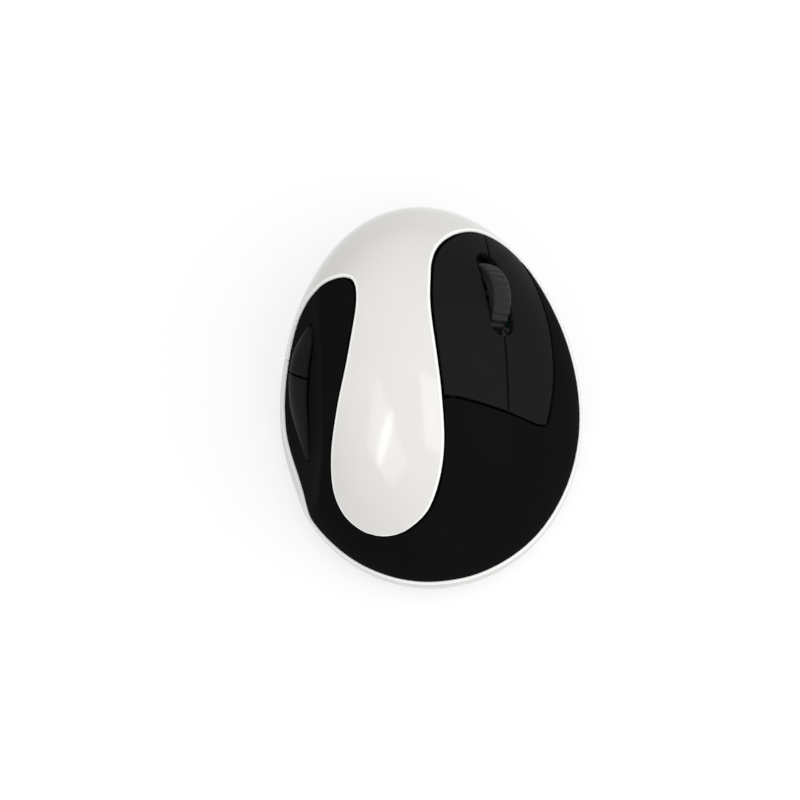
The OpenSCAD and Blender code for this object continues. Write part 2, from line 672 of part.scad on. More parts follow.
// Battery door with its two hooks in front, its latch behind and its grip lines
tab_size = [6, 1.2, 1.2];         // width, thickness and height over the base of a hook or the latch
hook_x = 15;
latch_room = 0.6;                 // room behind the latch, which it needs as the door swings
door_corner = 1;
door_seat = 0.05;                 // gap between the door and its ledges
grip_line = [14, 0.7, 0.4];       // length, width and depth of a grip line
grip_pitch = 1.6;
grip_from = 1.8;                  // distance of the first grip line from the door's edge
module door_tab(x, y) {
    half = tab_size/2;
    translate([x, y, 0])
        block([-half[0], -half[1], foot_t + door_t/2], [half[0], half[1], base_top + tab_size[2]]);
}
module battery_door() {
    color(black) {
        half = door_half - [door_gap, door_gap];
        difference() {
            translate([0, tray_y, foot_t]) plate(-half, half, door_corner, door_t - door_seat);
            for (i = [0:4]) translate([0, tray_y - half[1] + grip_from + grip_pitch*i, foot_t - cut])
                stadium(grip_line[0], grip_line[1], grip_line[2] + cut);
        }
        for (x = [-1, 1]) door_tab(x*hook_x, tray_y + tray_half[1] - door_gap - tab_size[1]/2);
        door_tab(0, tray_y - tray_half[1] + latch_room + tab_size[1]/2);
    }
}

// Sliding feet under the base
foot_at = [on_base([0.122, 0.381]), on_base([0.16, -0.39])];
foot_turn = 16;
foot_size = [15, 6];              // length and width of a foot
module feet() {
    color("#17171a")
    for (p = foot_at, s = [-1, 1]) translate([s*p[0], p[1], 0])
        rotate(s*foot_turn*(p[1] < 0 ? 1 : -1)) stadium(foot_size[0], foot_size[1], foot_t);
}
module base_screws() {
    color(steel) at_each(screw_places) translate([0, 0, foot_t + head_h + head_play]) screw(screw_l);
}
// Screws of the main board, of the button board and of the hood
board_holes = [[-14.5, -22], [14.5, -22], [-14.5, -6], [14.5, -6]];
board_grip = 2.5;                 // length of a board screw in its post
module board_screws() {
    color(steel) {
        at_each(board_posts)
            translate([0, 0, board_z + board_t]) rotate([180, 0, 0]) screw(board_t + board_grip);
        finger_side() at_each(board_holes)
            translate([0, 0, finger_board_z]) rotate([180, 0, 0]) screw(board_t + board_grip);
        at_each(cover_bosses) translate([0, 0, bridge_low]) screw(screw_l);
    }
}

module main_board() {
    color(board_green)
    difference() {
        translate([0, 0, board_z]) plate([-board_x, board_back], [board_x, board_front], board_corner, board_t);
        at_each(board_posts) translate([0, 0, board_z - cut]) screw_hole(board_t + 2*cut);
        translate([sensor_at[0], sensor_at[1], board_z - cut]) stadium(sight[0], sight[1], board_t + 2*cut);
    }
}
module controller_chip() {
    half = chip_size[0]/2;
    color("#202022") translate([chip_at[0], chip_at[1], board_z + board_t])
    difference() {
        plate([-half, -half], [half, half], chip_dot/2, chip_size[1]);
        translate([chip_dot*2 - half, half - chip_dot*2, chip_size[1] - chip_dot/2])
            cylinder(h = cut, r = chip_dot);
    }
}
chip_at = [0, 25.5];
chip_size = [7, 1];               // side and height
chip_dot = 0.5;                   // radius of the mark at the first leg
sensor_size = [12, 10, 3];
sensor_leg = [0.8, 1.1];          // width and reach of a leg
sensor_pitch = 2.4;
module sensor() {
    half = sensor_size/2;
    color("#202022") translate([sensor_at[0], sensor_at[1], board_z + board_t]) {
        block([-half[0], -half[1], 0], [half[0], half[1], sensor_size[2]]);
        for (i = [-1.5:1.5]) translate([sensor_pitch*i, 0, 0])
            block([-sensor_leg[0]/2, -half[1] - sensor_leg[1], 0],
                [sensor_leg[0]/2, half[1] + sensor_leg[1], half[2]]);
    }
}
lens_size = [15, 11, 1.2];
lens_r = 2.6;                     // light guide up to the sensor
lens_gap = 0.3;                   // room between the guide and the sensor's board opening
bead_r = [1.2, 2.4];              // bead that looks through the base, at its tip and its root
bead_h = 1.2;
module lens() {
    color("#d9e4ee", 0.5) translate([sensor_at[0], sensor_at[1], base_top]) {
        stadium(lens_size[0], lens_size[1], lens_size[2]);
        cylinder(h = board_z - base_top - lens_gap, r = lens_r);
        translate([0, 0, -bead_h]) cylinder(h = bead_h + lens_size[2]/2, r1 = bead_r[0], r2 = bead_r[1]);
    }
}
slider_flange = [12, 6, 0.8];
slider_play = 0.1;                // room over and under the slider's flange
knob_in = 0.4;                    // how far the knob stays inside the base
switch_low = base_top + slider_flange[2] + 2*slider_play;
switch_half = [4.3, 2];
module power_slider() {
    color(dark) translate([slider_at[0] - slider_travel/2, slider_at[1], 0]) {
        translate([0, 0, foot_t + knob_in]) stadium(knob[0], knob[1], base_t);
        translate([0, 0, base_top + slider_play]) stadium(slider_flange[0], slider_flange[1], slider_flange[2]);
    }
}
module power_switch() {
    color(steel) translate([slider_at[0], slider_at[1], 0])
        block([-switch_half[0], -switch_half[1], switch_low], [switch_half[0], switch_half[1], board_z]);
}

// Receiver in its bay under the base
module receiver_cap() {
    half = [cap_size[0], cap_size[1]]/2;
    color(dark) translate([receiver_at[0], receiver_at[1], foot_t + cap_in])
    difference() {
        plate(-half, half, cap_corner, cap_size[2] - cap_in);
        for (s = [-1, 1]) translate([s*half[0], 0, -cut]) cylinder(h = cut + notch[1], r = notch[0]);
    }
}
cap_in = 0.1;                     // how far the cap sits inside the base
cap_corner = 1;
notch = [1.6, 2];                 // radius and depth of the finger notches
plug_skin = 0.4;                  // sheet of the plug's shell
plug_floor = 3;                   // where the plug's hollow starts
plug_tongue = 0.2;                // where the tongue's face lies
plug_hole = [2, 2.4];             // width and length of the plug's latch holes
plug_holes_y = 2.6;
plug_holes_z = 5;
module receiver_plug() {
    color(steel) translate([receiver_at[0], receiver_at[1], foot_t + cap_size[2]])
    difference() {
        h = plug_size/2;
        block([-h[0], -h[1], 0], [h[0], h[1], plug_size[2]]);
        block([-h[0] + plug_skin, -h[1] + plug_skin, plug_floor],
            [plug_tongue, h[1] - plug_skin, plug_size[2] + cut]);
        for (s = [-1, 1]) translate([h[0], s*plug_holes_y, plug_holes_z])
            block([-plug_skin, -plug_hole[0]/2, 0], [cut, plug_hole[0]/2, plug_hole[1]]);
    }
}

// Two cells side by side, turned end for end
module each_cell() {
    for (s = [-1, 1]) translate([0, tray_y + s*cell_pitch/2, cell_z]) rotate(s > 0 ? 0 : 180) children();
}
contact_t = 0.4;                  // sheet of a contact plate
contact_gap = 0.1;                // room behind a plate and before a cell
contact_size = [8, 8.6];          // width and height of a plate
contact_low = -4;
dimple = [2, 2.4];                // height and radius of the plate's dimple
nub = [1, 1.9];                   // height and radius of a cell's nub
plate_x = tray_half[0] - contact_gap;
cell_end = plate_x - contact_t - dimple[0] - contact_gap;
module battery_cells() {
    color("#3a3f45") each_cell() {
        rod_x(cell_end - cell_l, cell_end - nub[0], cell_r);
        rod_x(cell_end - nub[0], cell_end, nub[1]);
    }
}
module contact_plate(x) {
    block([x, -contact_size[0]/2, contact_low],
        [x + contact_t, contact_size[0]/2, contact_low + contact_size[1]]);
}
module battery_plates() {
    color(steel) each_cell() {
        contact_plate(plate_x - contact_t);
        rod_x(plate_x - contact_t - dimple[0], plate_x - contact_t, dimple[1]);
        contact_plate(-plate_x);
    }
}
spring_turns = 3;
spring_r = [3.6, 2.4];            // radius at the plate and at the cell
wire_r = 0.35;
wire_gap = 0.05;                  // room between the wire and what it meets
spring_sides = 6;
turn_rings = 14;
module coil(from, to) {
    n = spring_turns*turn_rings;
    rings = [for (i = [0:n])
        let (f = i/n, r = spring_r[0] + (spring_r[1] - spring_r[0])*f, a = 360*spring_turns*f)
        [for (k = [0:spring_sides - 1])
            let (b = 360*k/spring_sides, d = r + wire_r*cos(b))
            [from + (to - from)*f + wire_r*sin(b), d*cos(a), d*sin(a)]]];
    function at(i, k) = i*spring_sides + k % spring_sides;
    polyhedron([for (ring = rings) each ring], concat(
        [[for (k = [0:spring_sides - 1]) k]],
        [for (i = [0:n - 1], k = [0:spring_sides - 1])
            each [[at(i, k), at(i + 1, k), at(i + 1, k + 1)], [at(i, k), at(i + 1, k + 1), at(i, k + 1)]]],
        [[for (k = [spring_sides - 1:-1:0]) at(n, k)]]));
}
module battery_springs() {
    color(steel) each_cell()
        coil(contact_t - plate_x + wire_r + wire_gap, cell_end - cell_l - wire_r - wire_gap);
}

// Inner frame: finger deck, thumb bracket, the bridge between them and the posts down to the base
bridge_low = 41;
bridge_t = 3;
bridge_x = [-0.234*body_w, 0.043*body_w];
bridge_y = [-0.102*body_len, 0.153*body_len];
deck_corner = 3;
guide_over = 3;                   // height of the guide posts over the carrier's underside
side_post_in = 3;                 // distance of the side board's posts from the bracket's ends
module post_stock(p) {
    top = p[0] < 0 ? bridge_low + bridge_t : body_h;
    translate([p[0], p[1], base_top]) cylinder(h = top - base_top, r = boss_r);
}
// Everything over height z of a working frame
module over(z) {
    translate([-body_w, -body_len, z]) cube([2*body_w, 2*body_len, body_h]);
}
module chassis() {
    color("#4a4a4e")
    difference() {
        union() {
            finger_side() {
                translate([0, 0, deck_top - deck_t])
                    plate([-deck_x, deck_back], [deck_x, deck_front], deck_corner, deck_t);
                at_each(board_holes) translate([0, 0, deck_top - deck_t/2])
                    cylinder(h = finger_board_z - board_t - deck_top + deck_t/2, r = post_r);
                for (y = [guide_front, guide_back]) translate([0, y, deck_top - deck_t/2])
                    cylinder(h = carrier_z + guide_over - deck_top + deck_t/2, r = guide_r);
                for (s = [-1, 1], e = [-1, 1]) translate([s*pivot_x, pivot_y, 0]) {
                    near = lug_w/2 + ear_gap;
                    x = e < 0 ? -near - ear_t : near;
                    block([x, -lug_r, deck_top - deck_t/2], [x + ear_t, lug_r, pivot_z]);
                    translate([0, 0, pivot_z]) rod_x(x, x + ear_t, lug_r);
                }
            }
            thumb_side() {
                translate([0, 0, bracket_top - bracket_t])
                    plate([side_x[0], side_y[0]], [side_x[1], side_y[1]], board_corner, bracket_t);
                for (y = [side_y[0] + side_post_in, side_y[1] - side_post_in])
                    translate([0, y, bracket_top - bracket_t/2])
                    cylinder(h = side_board_z - board_t - bracket_top + bracket_t/2, r = post_r);
            }
            difference() {
                union() {
                    block([bridge_x[0], bridge_y[0], bridge_low],
                        [bridge_x[1], bridge_y[1], bridge_low + bridge_t]);
                    for (p = chassis_posts) post_stock(p);
                }
                finger_side() over(deck_top - deck_t/2);
                thumb_side() over(bracket_top - bracket_t/2);
            }
        }
        finger_side() {
            translate([0, 0, deck_top - deck_t - cut]) rotate(90) stadium(well_l, slot_w, deck_t + 2*cut);
            at_each(board_holes) translate([0, 0, deck_top - deck_t/2]) screw_hole(switch_h);
            for (s = [-1, 1]) translate([s*pivot_x, pivot_y, pivot_z])
                rod_x(-lug_w - ear_t, lug_w + ear_t, pivot_r + run_play);
        }
        at_each(chassis_posts) translate([0, 0, base_top - cut]) screw_hole(screw_l + cut);
        at_each(cover_bosses) translate([0, 0, bridge_low - cut]) screw_hole(bridge_t + 2*cut);
    }
}
module button_board() {
    color(board_green) finger_side()
    difference() {
        translate([0, 0, finger_board_z - board_t])
            plate([-deck_x, finger_board_back], [deck_x, deck_front], board_corner, board_t);
        translate([0, 0, finger_board_z - board_t - cut]) {
            rotate(90) stadium(well_l, slot_w, board_t + 2*cut);
            at_each(board_holes) screw_hole(board_t + 2*cut);
            for (y = [guide_front, guide_back]) translate([0, y, 0])
                cylinder(h = board_t + 2*cut, r = guide_r + guide_room);
        }
    }
}

// Main switches with their plungers
module main_switch(side) {
    color("#1d1d20") finger_side() translate([side*switch_x, switch_y, finger_board_z]) {
        difference() {
            block([-switch_w/2, -switch_l/2, 0], [switch_w/2, switch_l/2, switch_h]);
            depth = plunger_sunk + click_travel + plunger_floor;
            translate([0, press_y - switch_y, switch_h - depth])
                cylinder(h = depth + cut, r = plunger_r + run_play);
        }
    }
}
module main_plunger(side) {
    color("#c8452f") finger_side() translate([side*switch_x, press_y, switch_top - plunger_sunk])
        cylinder(h = plunger_h + plunger_sunk, r = plunger_r);
}
module left_switch() main_switch(-1);
module right_switch() main_switch(1);
module left_plunger() main_plunger(-1);
module right_plunger() main_plunger(1);

// Scroll wheel, turning in a carrier that can be pressed down on its switch
tyre_t = 2.4;
tyre_ribs = 30;
groove_r = 0.8;                   // grooves between the tyre's ribs, and how far out their middles lie
groove_out = 0.35;
tyre_play = 0.02;                 // fit of the tyre on the hub and of the hub on the axle
hub_in = 0.2;                     // how far the hub sits inside the tyre's sides
hub_rim = 1.4;                    // thickness of the hub's rim and of its boss
hub_web = 2;                      // thickness of the hub's disc
hub_r = wheel_r - tyre_t;
spokes = 6;
spoke_w = 1.2;
module at_wheel() finger_side() translate([0, 0, wheel_z]) children();
module wheel_hub() {
    color(dark) at_wheel()
    difference() {
        rod_x(hub_in - wheel_w/2, wheel_w/2 - hub_in, hub_r);
        rod_x(-wheel_w, wheel_w, axle_r + tyre_play);
        for (s = [-1, 1]) difference() {
            rod_x(s > 0 ? hub_web/2 : -wheel_w, s > 0 ? wheel_w : -hub_web/2, hub_r - hub_rim);
            rod_x(-wheel_w - cut, wheel_w + cut, axle_r + hub_rim);
            for (k = [0:spokes - 1]) rotate([360*k/spokes, 0, 0])
                block([-wheel_w, -spoke_w/2, 0], [wheel_w, spoke_w/2, hub_r]);
        }
    }
}
module wheel_tyre() {
    color("#121214") at_wheel()
    difference() {
        rod_x(-wheel_w/2, wheel_w/2, wheel_r);
        rod_x(-wheel_w, wheel_w, hub_r + tyre_play);
        for (k = [0:tyre_ribs - 1]) rotate([360*k/tyre_ribs, 0, 0])
            translate([0, 0, wheel_r + groove_out]) rod_x(-wheel_w, wheel_w, groove_r, $fn = 16);
    }
}
module wheel_axle() {
    color(steel) at_wheel() rod_x(-carrier_out - axle_end, carrier_out + encoder_t, axle_r);
}
module wheel_carrier() {
    color("#3c3c40") finger_side()
    difference() {
        union() {
            for (s = [-1, 1]) {
                x = s < 0 ? -carrier_out : carrier_in;
                block([x, -carrier_front, carrier_z], [x + carrier_t, carrier_front, carrier_z + bar_h]);
                block([x, -bearing_r, carrier_z], [x + carrier_t, bearing_r, wheel_z]);
                translate([0, 0, wheel_z]) rod_x(x, x + carrier_t, bearing_r);
            }
            block([-carrier_out, carrier_front, carrier_z],
                [carrier_out, guide_front + guide_pad, carrier_z + bar_h]);
            block([-carrier_out, guide_back - guide_pad, carrier_z],
                [carrier_out, -carrier_front, carrier_z + bar_h]);
        }
        translate([0, 0, wheel_z]) rod_x(-carrier_out - cut, carrier_out + cut, axle_r + run_play);
        for (y = [guide_front, guide_back]) translate([0, y, carrier_z - cut])
            cylinder(h = bar_h + 2*cut, r = guide_r + run_play);
    }
}
module encoder() {
    color("#26563f") at_wheel()
    difference() {
        block([carrier_out, -encoder_w/2, carrier_z - wheel_z + encoder_up],
            [carrier_out + encoder_t, encoder_w/2, rotor_r + encoder_over]);
        rod_x(carrier_out - cut, carrier_out + encoder_t + cut, rotor_r + run_play);
    }
}
module encoder_rotor() {
    color("#d8d8d2") at_wheel()
    difference() {
        rod_x(carrier_out + rotor_gap, carrier_out + encoder_t, rotor_r);
        rod_x(carrier_out - cut, carrier_out + encoder_t + cut, axle_r + tyre_play);
    }
}

// Small square switch standing on its board, and its plunger
tact_r = 1.7;                     // radius of its plunger
module tact_body(travel) {
    depth = plunger_sunk + travel + plunger_floor;
    difference() {
        block([-tact_a/2, -tact_a/2, 0], [tact_a/2, tact_a/2, tact_h]);
        translate([0, 0, tact_h - depth]) cylinder(h = depth + cut, r = tact_r + run_play);
    }
}
module tact_plunger() {
    translate([0, 0, tact_h - plunger_sunk]) cylinder(h = plunger_h + plunger_sunk, r = tact_r);
}
module at_wheel_switch() finger_side() translate([0, tact_y, finger_board_z]) children();
module at_side_switch(p) thumb_side() translate([p[0], p[1], side_board_z]) children();
module wheel_switch() color("#1d1d20") at_wheel_switch() tact_body(wheel_travel);
module wheel_plunger() color("#c9c3b4") at_wheel_switch() tact_plunger();
module forward_switch() color("#1d1d20") at_side_switch(forward_at) tact_body(side_travel);
module forward_plunger() color("#c9c3b4") at_side_switch(forward_at) tact_plunger();
module back_switch() color("#1d1d20") at_side_switch(back_at) tact_body(side_travel);
module back_plunger() color("#c9c3b4") at_side_switch(back_at) tact_plunger();
module side_board() {
    color(board_green) thumb_side() translate([0, 0, side_board_z - board_t])
        plate([side_x[0] + side_edge, side_y[0] + side_edge], [side_x[1] - side_edge, side_y[1] - side_edge],
            board_corner, board_t);
}

// Flat ribbon cables from the main board
ribbon_t = 0.3;
ribbon_gap = 0.1;                 // room over the main board
ribbon_in = 3;                    // distance of the button ribbon from the main board's edge
ribbon_w = 6;
ribbon_y = 3;                     // where the side ribbon starts along the main board
ribbon_bend = 6;                  // length of the side ribbon's end stretches
ribbon_rise = 2;                  // rise of the button ribbon's last stretch
ribbon_off = [1.6, 0.6];          // room between a ribbon's end and its board, sideways and down
module ribbon(path, side, from, to) {
    translate([0, to, 0]) rotate([90, 0, 0]) linear_extrude(to - from)
        polygon(concat(path, turned([for (p = path) p + ribbon_t*side])));
}
module button_ribbon() {
    edge = finger_o - (deck_x + ribbon_t)*finger_axes[0] + (finger_board_z - board_t/2)*finger_axes[2];
    low = [ribbon_in - board_x, board_z + board_t + ribbon_gap + ribbon_t];
    from = bridge_y[1] + ribbon_gap;
    color("#d0cdc4") ribbon([low, [low[0], edge[2] - ribbon_rise], [edge[0], edge[2]] - ribbon_off],
        [1, -1], from, from + ribbon_w);
}
module side_ribbon() {
    edge = thumb_o + (side_x[0] + side_edge - ribbon_t)*thumb_axes[0] + (side_board_z - board_t)*thumb_axes[2];
    low = [ribbon_in/2 - board_x, board_z + board_t + ribbon_gap];
    color("#d0cdc4") ribbon([low, low + [0, ribbon_bend],
        [edge[0] - ribbon_off[1], edge[2] - ribbon_bend], [edge[0] - ribbon_off[1], edge[2] - ribbon_off[1]]],
        [1, 1], ribbon_y, ribbon_y + ribbon_w);
}

top_cover();
lower_case();
grip_panel();
left_button();
right_button();
forward_button();
back_button();
base_plate();
battery_door();
feet();
base_screws();
board_screws();
main_board();
controller_chip();
sensor();
lens();
power_switch();
power_slider();
receiver_cap();
receiver_plug();
battery_cells();
battery_springs();
battery_plates();
chassis();
button_board();
left_switch();
left_plunger();
right_switch();
right_plunger();
wheel_hub();
wheel_tyre();
wheel_axle();
wheel_carrier();
encoder();
encoder_rotor();
wheel_switch();
wheel_plunger();
side_board();
forward_switch();
forward_plunger();
back_switch();
back_plunger();
button_ribbon();
side_ribbon();
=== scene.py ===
import math
import bmesh
import bpy
import numpy as np
from mathutils import Matrix, Vector


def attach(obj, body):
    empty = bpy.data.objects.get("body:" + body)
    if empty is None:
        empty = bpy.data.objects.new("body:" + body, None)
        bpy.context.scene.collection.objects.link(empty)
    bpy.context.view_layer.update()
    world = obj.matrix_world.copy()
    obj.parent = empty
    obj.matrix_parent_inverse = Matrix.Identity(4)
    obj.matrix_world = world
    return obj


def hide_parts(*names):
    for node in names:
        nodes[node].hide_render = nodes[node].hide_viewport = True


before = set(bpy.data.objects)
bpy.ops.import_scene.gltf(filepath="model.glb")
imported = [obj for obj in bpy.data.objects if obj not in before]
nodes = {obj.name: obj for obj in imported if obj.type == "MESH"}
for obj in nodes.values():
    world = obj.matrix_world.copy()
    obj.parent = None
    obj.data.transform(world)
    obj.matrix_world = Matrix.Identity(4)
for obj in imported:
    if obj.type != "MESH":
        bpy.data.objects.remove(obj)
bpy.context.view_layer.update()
mm = 0.001
scene = bpy.context.scene
scene.view_settings.view_transform = "Standard"
print("frame loaded:", len(nodes), "nodes")

# Camera above and a little behind the mouse; sizes in mm and pixels of the 800 pixel image
shot = {"target": (0, 0, 25), "distance": 700, "elevation": 71.5, "focal": 2256,
        "middle": (431.2, 391.5), "image": 800, "sensor": 36}


def setCamera(s):
    tilt = math.radians(s["elevation"])
    data = bpy.data.cameras.new("photoCamera")
    data.sensor_width = s["sensor"]
    data.lens = s["focal"] / s["image"] * s["sensor"]
    data.shift_x = (s["image"] / 2 - s["middle"][0]) / s["image"]
    data.shift_y = (s["middle"][1] - s["image"] / 2) / s["image"]
    camera = bpy.data.objects.new("photoCamera", data)
    away = Vector((0, -math.cos(tilt), math.sin(tilt)))
    camera.location = (Vector(s["target"]) + away * s["distance"]) * mm
    camera.rotation_euler = (math.pi / 2 - tilt, 0, 0)
    scene.collection.objects.link(camera)
    scene.camera = camera


setCamera(shot)

# The dome's skin: a place on its map is in percent, the crown [0, 0], the widest line at radius 100
dome = {"length": 118, "width": 94, "height": 65.5, "girth": 14, "egg": 0.08, "crown": (-13, 15),
        "shoulder": 0.95, "fingerFlat": 0.12, "tuck": 4, "tuckSpan": 0.18, "foot": 0.8,
        "hollowAt": (-66, -20), "hollowHalf": (35, 48), "hollowTurn": 27, "hollowDepth": 6, "hollowSides": 3,
        "hollowEase": 2, "mapMm": 0.85}

# Wall and gaps between the panels, in mm
wall = 2.2
whiteProud = 0.5  # how far the white shells stand over the black ones
panelGap = 0.5
hoodGap = 0.9
buttonGap = 1.0
sideGap = 0.6
backGap = 0.4


# Half width that gives the egg its full width at the widest place
def halfWidth(d):
    k = d["egg"]
    v = (1 - math.sqrt(1 + 8 * k * k)) / (4 * k)
    return d["width"] / 2 / (math.sqrt(1 - v * v) * (1 - k * v))


# Depth of the hollow on the left
def hollow(m):
    d = dome
    turn = math.radians(d["hollowTurn"])
    du, dv = m[..., 0] - d["hollowAt"][0], m[..., 1] - d["hollowAt"][1]
    side = (du * math.cos(turn) - dv * math.sin(turn)) / d["hollowHalf"][0]
    along = (du * math.sin(turn) + dv * math.cos(turn)) / d["hollowHalf"][1]
    inside = np.clip(1 - np.hypot(side, along) ** d["hollowSides"], 0, None)
    return d["hollowDepth"] * inside ** d["hollowEase"]


# Point on the skin, or under it by an inset in mm
def skin(m, inset=0.0):
    d = dome
    m = np.asarray(m, float)
    s = np.hypot(m[..., 0], m[..., 1]) / 100
    a = np.arctan2(m[..., 1], m[..., 0])
    rise = np.pi / 2 * np.minimum(s, 1)
    low = np.maximum(0, s - 1) / d["tuckSpan"]
    reach = np.sin(rise) ** (1 + d["fingerFlat"] * np.maximum(0, np.cos(a)) ** 2)
    lean = np.cos(rise) ** 2
    drawn = inset + d["tuck"] * low * low
    top = d["height"] - d["girth"] - inset
    x = (halfWidth(d) - drawn) * reach * np.cos(a) * (1 - d["egg"] * reach * np.sin(a))
    y = (d["length"] / 2 - drawn) * reach * np.sin(a)
    dip = d["girth"] + top * np.maximum(0, np.cos(rise)) ** d["shoulder"]
    z = np.where(s < 1, dip, d["girth"] + (d["foot"] - d["girth"]) * low)
    return np.stack([x + d["crown"][0] * lean + hollow(m), y + d["crown"][1] * lean, z], -1)


# Map radius at a height below the widest line
def level(z):
    return 100 * (1 + dome["tuckSpan"] * (dome["girth"] - z) / (dome["girth"] - dome["foot"]))


def polar(s, a):
    return np.stack([s * np.cos(a), s * np.sin(a)], -1)


# Smooth curve through points, one step of t from each to the next
def curve(points, t):
    p = np.asarray(points, float)
    t = np.asarray(t, float)
    i = np.clip(np.floor(t).astype(int), 0, len(p) - 2)
    f = (t - i)[..., None]
    a, b, c, d = (p[np.clip(i + k, 0, len(p) - 1)] for k in (-1, 0, 1, 2))
    square = (2 * a - 5 * b + 4 * c - d) * f ** 2
    cube = (3 * b - a - 3 * c + d) * f ** 3
    return 0.5 * (2 * b + (c - a) * f + square + cube)


# Place between two edges: t runs along both, w across from p to q, with room left at each
def across(p, q, t, w, gapP=0.0, gapQ=0.0):
    a, b = curve(p, t), curve(q, t)
    wide = np.linalg.norm(b - a, axis=-1) * dome["mapMm"]
    f = gapP / wide + w * (1 - (gapP + gapQ) / wide)
    return a + (b - a) * f[..., None]


def spread(ts, ws):
    return np.meshgrid(np.asarray(ts, float), np.asarray(ws, float), indexing="ij")


# Edges of the panels on the map
edges = {
    "coverLeft": [[-22, -69.8], [-30, -67.8], [-37.7, -61.8], [-40, -53], [-35.7, -42], [-27.5, -30],
                  [-19.5, -18], [-14.6, -6], [-13.4, 2], [-15.3, 8.2], [-20.5, 11.6], [-30, 14], [-42, 15.9],
                  [-53, 18.6], [-64, 19], [-73, 15.2], [-79, 9.4]],
    "coverRight": [[-12.6, -69.5], [-5.5, -67.5], [4.5, -61.5], [11.8, -52], [16.3, -41], [18.2, -28],
                   [18.8, -14], [18.8, -1], [17.8, 10], [16.9, 18], [17.9, 26], [21, 34], [25.5, 42],
                   [31.5, 49.8], [39, 55], [50, 57.8], [60, 52.6]],
    "split": [[44.5, -27], [45.8, -14], [46, -2], [45, 7], [43.4, 14.5], [41.6, 23], [39.9, 31], [38, 38],
              [36.3, 45], [34.9, 51.5]],
    "rightLower": [[62.3, -25.7], [66, -15], [68, -4], [68.4, 5], [68, 13], [67, 21], [65, 29], [62.5, 37],
                   [59, 45], [54.3, 54.6]],
    "gripOuter": [[-79, 9.4], [-84.5, 4], [-89, -2], [-92.5, -9], [-95.2, -20], [-93, -33], [-86, -47],
                  [-76, -60], [-63, -73], [-47, -84.5], [-31, -91.5], [-14, -95.5], [3, -96], [25, -92.5],
                  [45, -84], [61, -73], [71, -62], [79, -50], [84.5, -39], [88, -28], [89.8, -19], [90, -9],
                  [88.8, 1], [86.5, 9.5], [83.5, 17.5], [79.5, 25.5], [74.5, 33.5], [68, 42.5], [60, 52.6]],
    "gripBack": [[18.2, -31.5], [20, -28], [42, -27.6], [60.8, -26.7]],
    "leafUpper": [[-50, 5.2], [-53.3, -1.2], [-59.2, -5.8], [-64, -13.5], [-67.5, -24], [-73.4, -36]],
    "leafLower": [[-51.2, 7], [-63, 7.4], [-71.5, 4.4], [-78.5, -3.5], [-82, -15.5], [-75, -35.2]],
}
thumbEnd = 10  # last point of coverLeft that the grip follows
spineRows = 5  # points of coverRight that the grip follows
leftRows = slice(6, 14)  # points of coverRight that the left button follows
edges["leftInner"] = [[18.3, -27]] + edges["coverRight"][leftRows] + [[33.2, 51.2]]
edges["gripInner"] = (edges["coverLeft"][thumbEnd::-1] + edges["coverRight"][:spineRows] + edges["gripBack"]
                      + edges["rightLower"][1:])

# How panels run into their ends: powers, steps along the edges, and the tip's bulge in percent of the map
flow = {"seamTurn": 6, "tipBulge": 1.5, "tipReach": 1.5, "frontPull": 5, "thumbReach": 6}


# Seam between the hood and the lower case, round the front
def seam(w):
    p, q = edges["coverLeft"][-1], edges["coverRight"][-1]
    start, stop = math.atan2(p[1], p[0]), math.atan2(q[1], q[0])
    end = np.where(w < 0.5, math.hypot(*p), math.hypot(*q))
    return polar(100 - (100 - end) * np.abs(2 * w - 1) ** flow["seamTurn"], start + (stop - start) * w)


# Round end of the spine
def spineEnd(w):
    left, right = edges["coverLeft"], edges["coverRight"]
    bulge = np.stack([0 * w, -flow["tipBulge"] * w * (1 - w)], -1)
    return curve([left[1], left[0], right[0], right[1]], 1 + w) + bulge


# Places on the hood: t from the spine's end to the front seam, w from left to right
def coverPlace(t, w):
    left, right = edges["coverLeft"], edges["coverRight"]
    last = len(left) - 1
    pull = seam(w) - across(left, right, np.full_like(t, last), w)
    tip = spineEnd(w) - across(left, right, np.zeros_like(t), w)
    fade = np.maximum(0, 1 - t / flow["tipReach"]) ** 2
    front = (t / last) ** flow["frontPull"]
    return across(left, right, t, w) + front[..., None] * pull + fade[..., None] * tip


# Places on the grip: t from the left front round the back to the right front, w outwards
def gripPlace(t, w):
    inner, outer, left = edges["gripInner"], edges["gripOuter"], edges["coverLeft"]
    bow = curve(left, thumbEnd + (len(left) - 1 - thumbEnd) * w) - across(inner, outer, np.zeros_like(t), w)
    fade = np.maximum(0, 1 - t / flow["thumbReach"]) ** 2
    groove = panelGap + (hoodGap - panelGap) * np.clip(thumbEnd + spineRows - t, 0, 1)
    return across(inner, outer, t, w, groove) + fade[..., None] * bow


print("skin and edges ready")


# Steps over a rolled edge, and samples that measure a panel along and across
counts = {"roll": 5, "along": 600, "across": 81}


def meshObject(name, points, faces):
    mesh = bpy.data.meshes.new(name)
    mesh.from_pydata([tuple(p) for p in np.asarray(points) * mm], [], faces)
    work = bmesh.new()
    work.from_mesh(mesh)
    bmesh.ops.recalc_face_normals(work, faces=work.faces)
    work.to_mesh(mesh)
    work.free()
    piece = bpy.data.objects.new(name, mesh)
    scene.collection.objects.link(piece)
    return piece


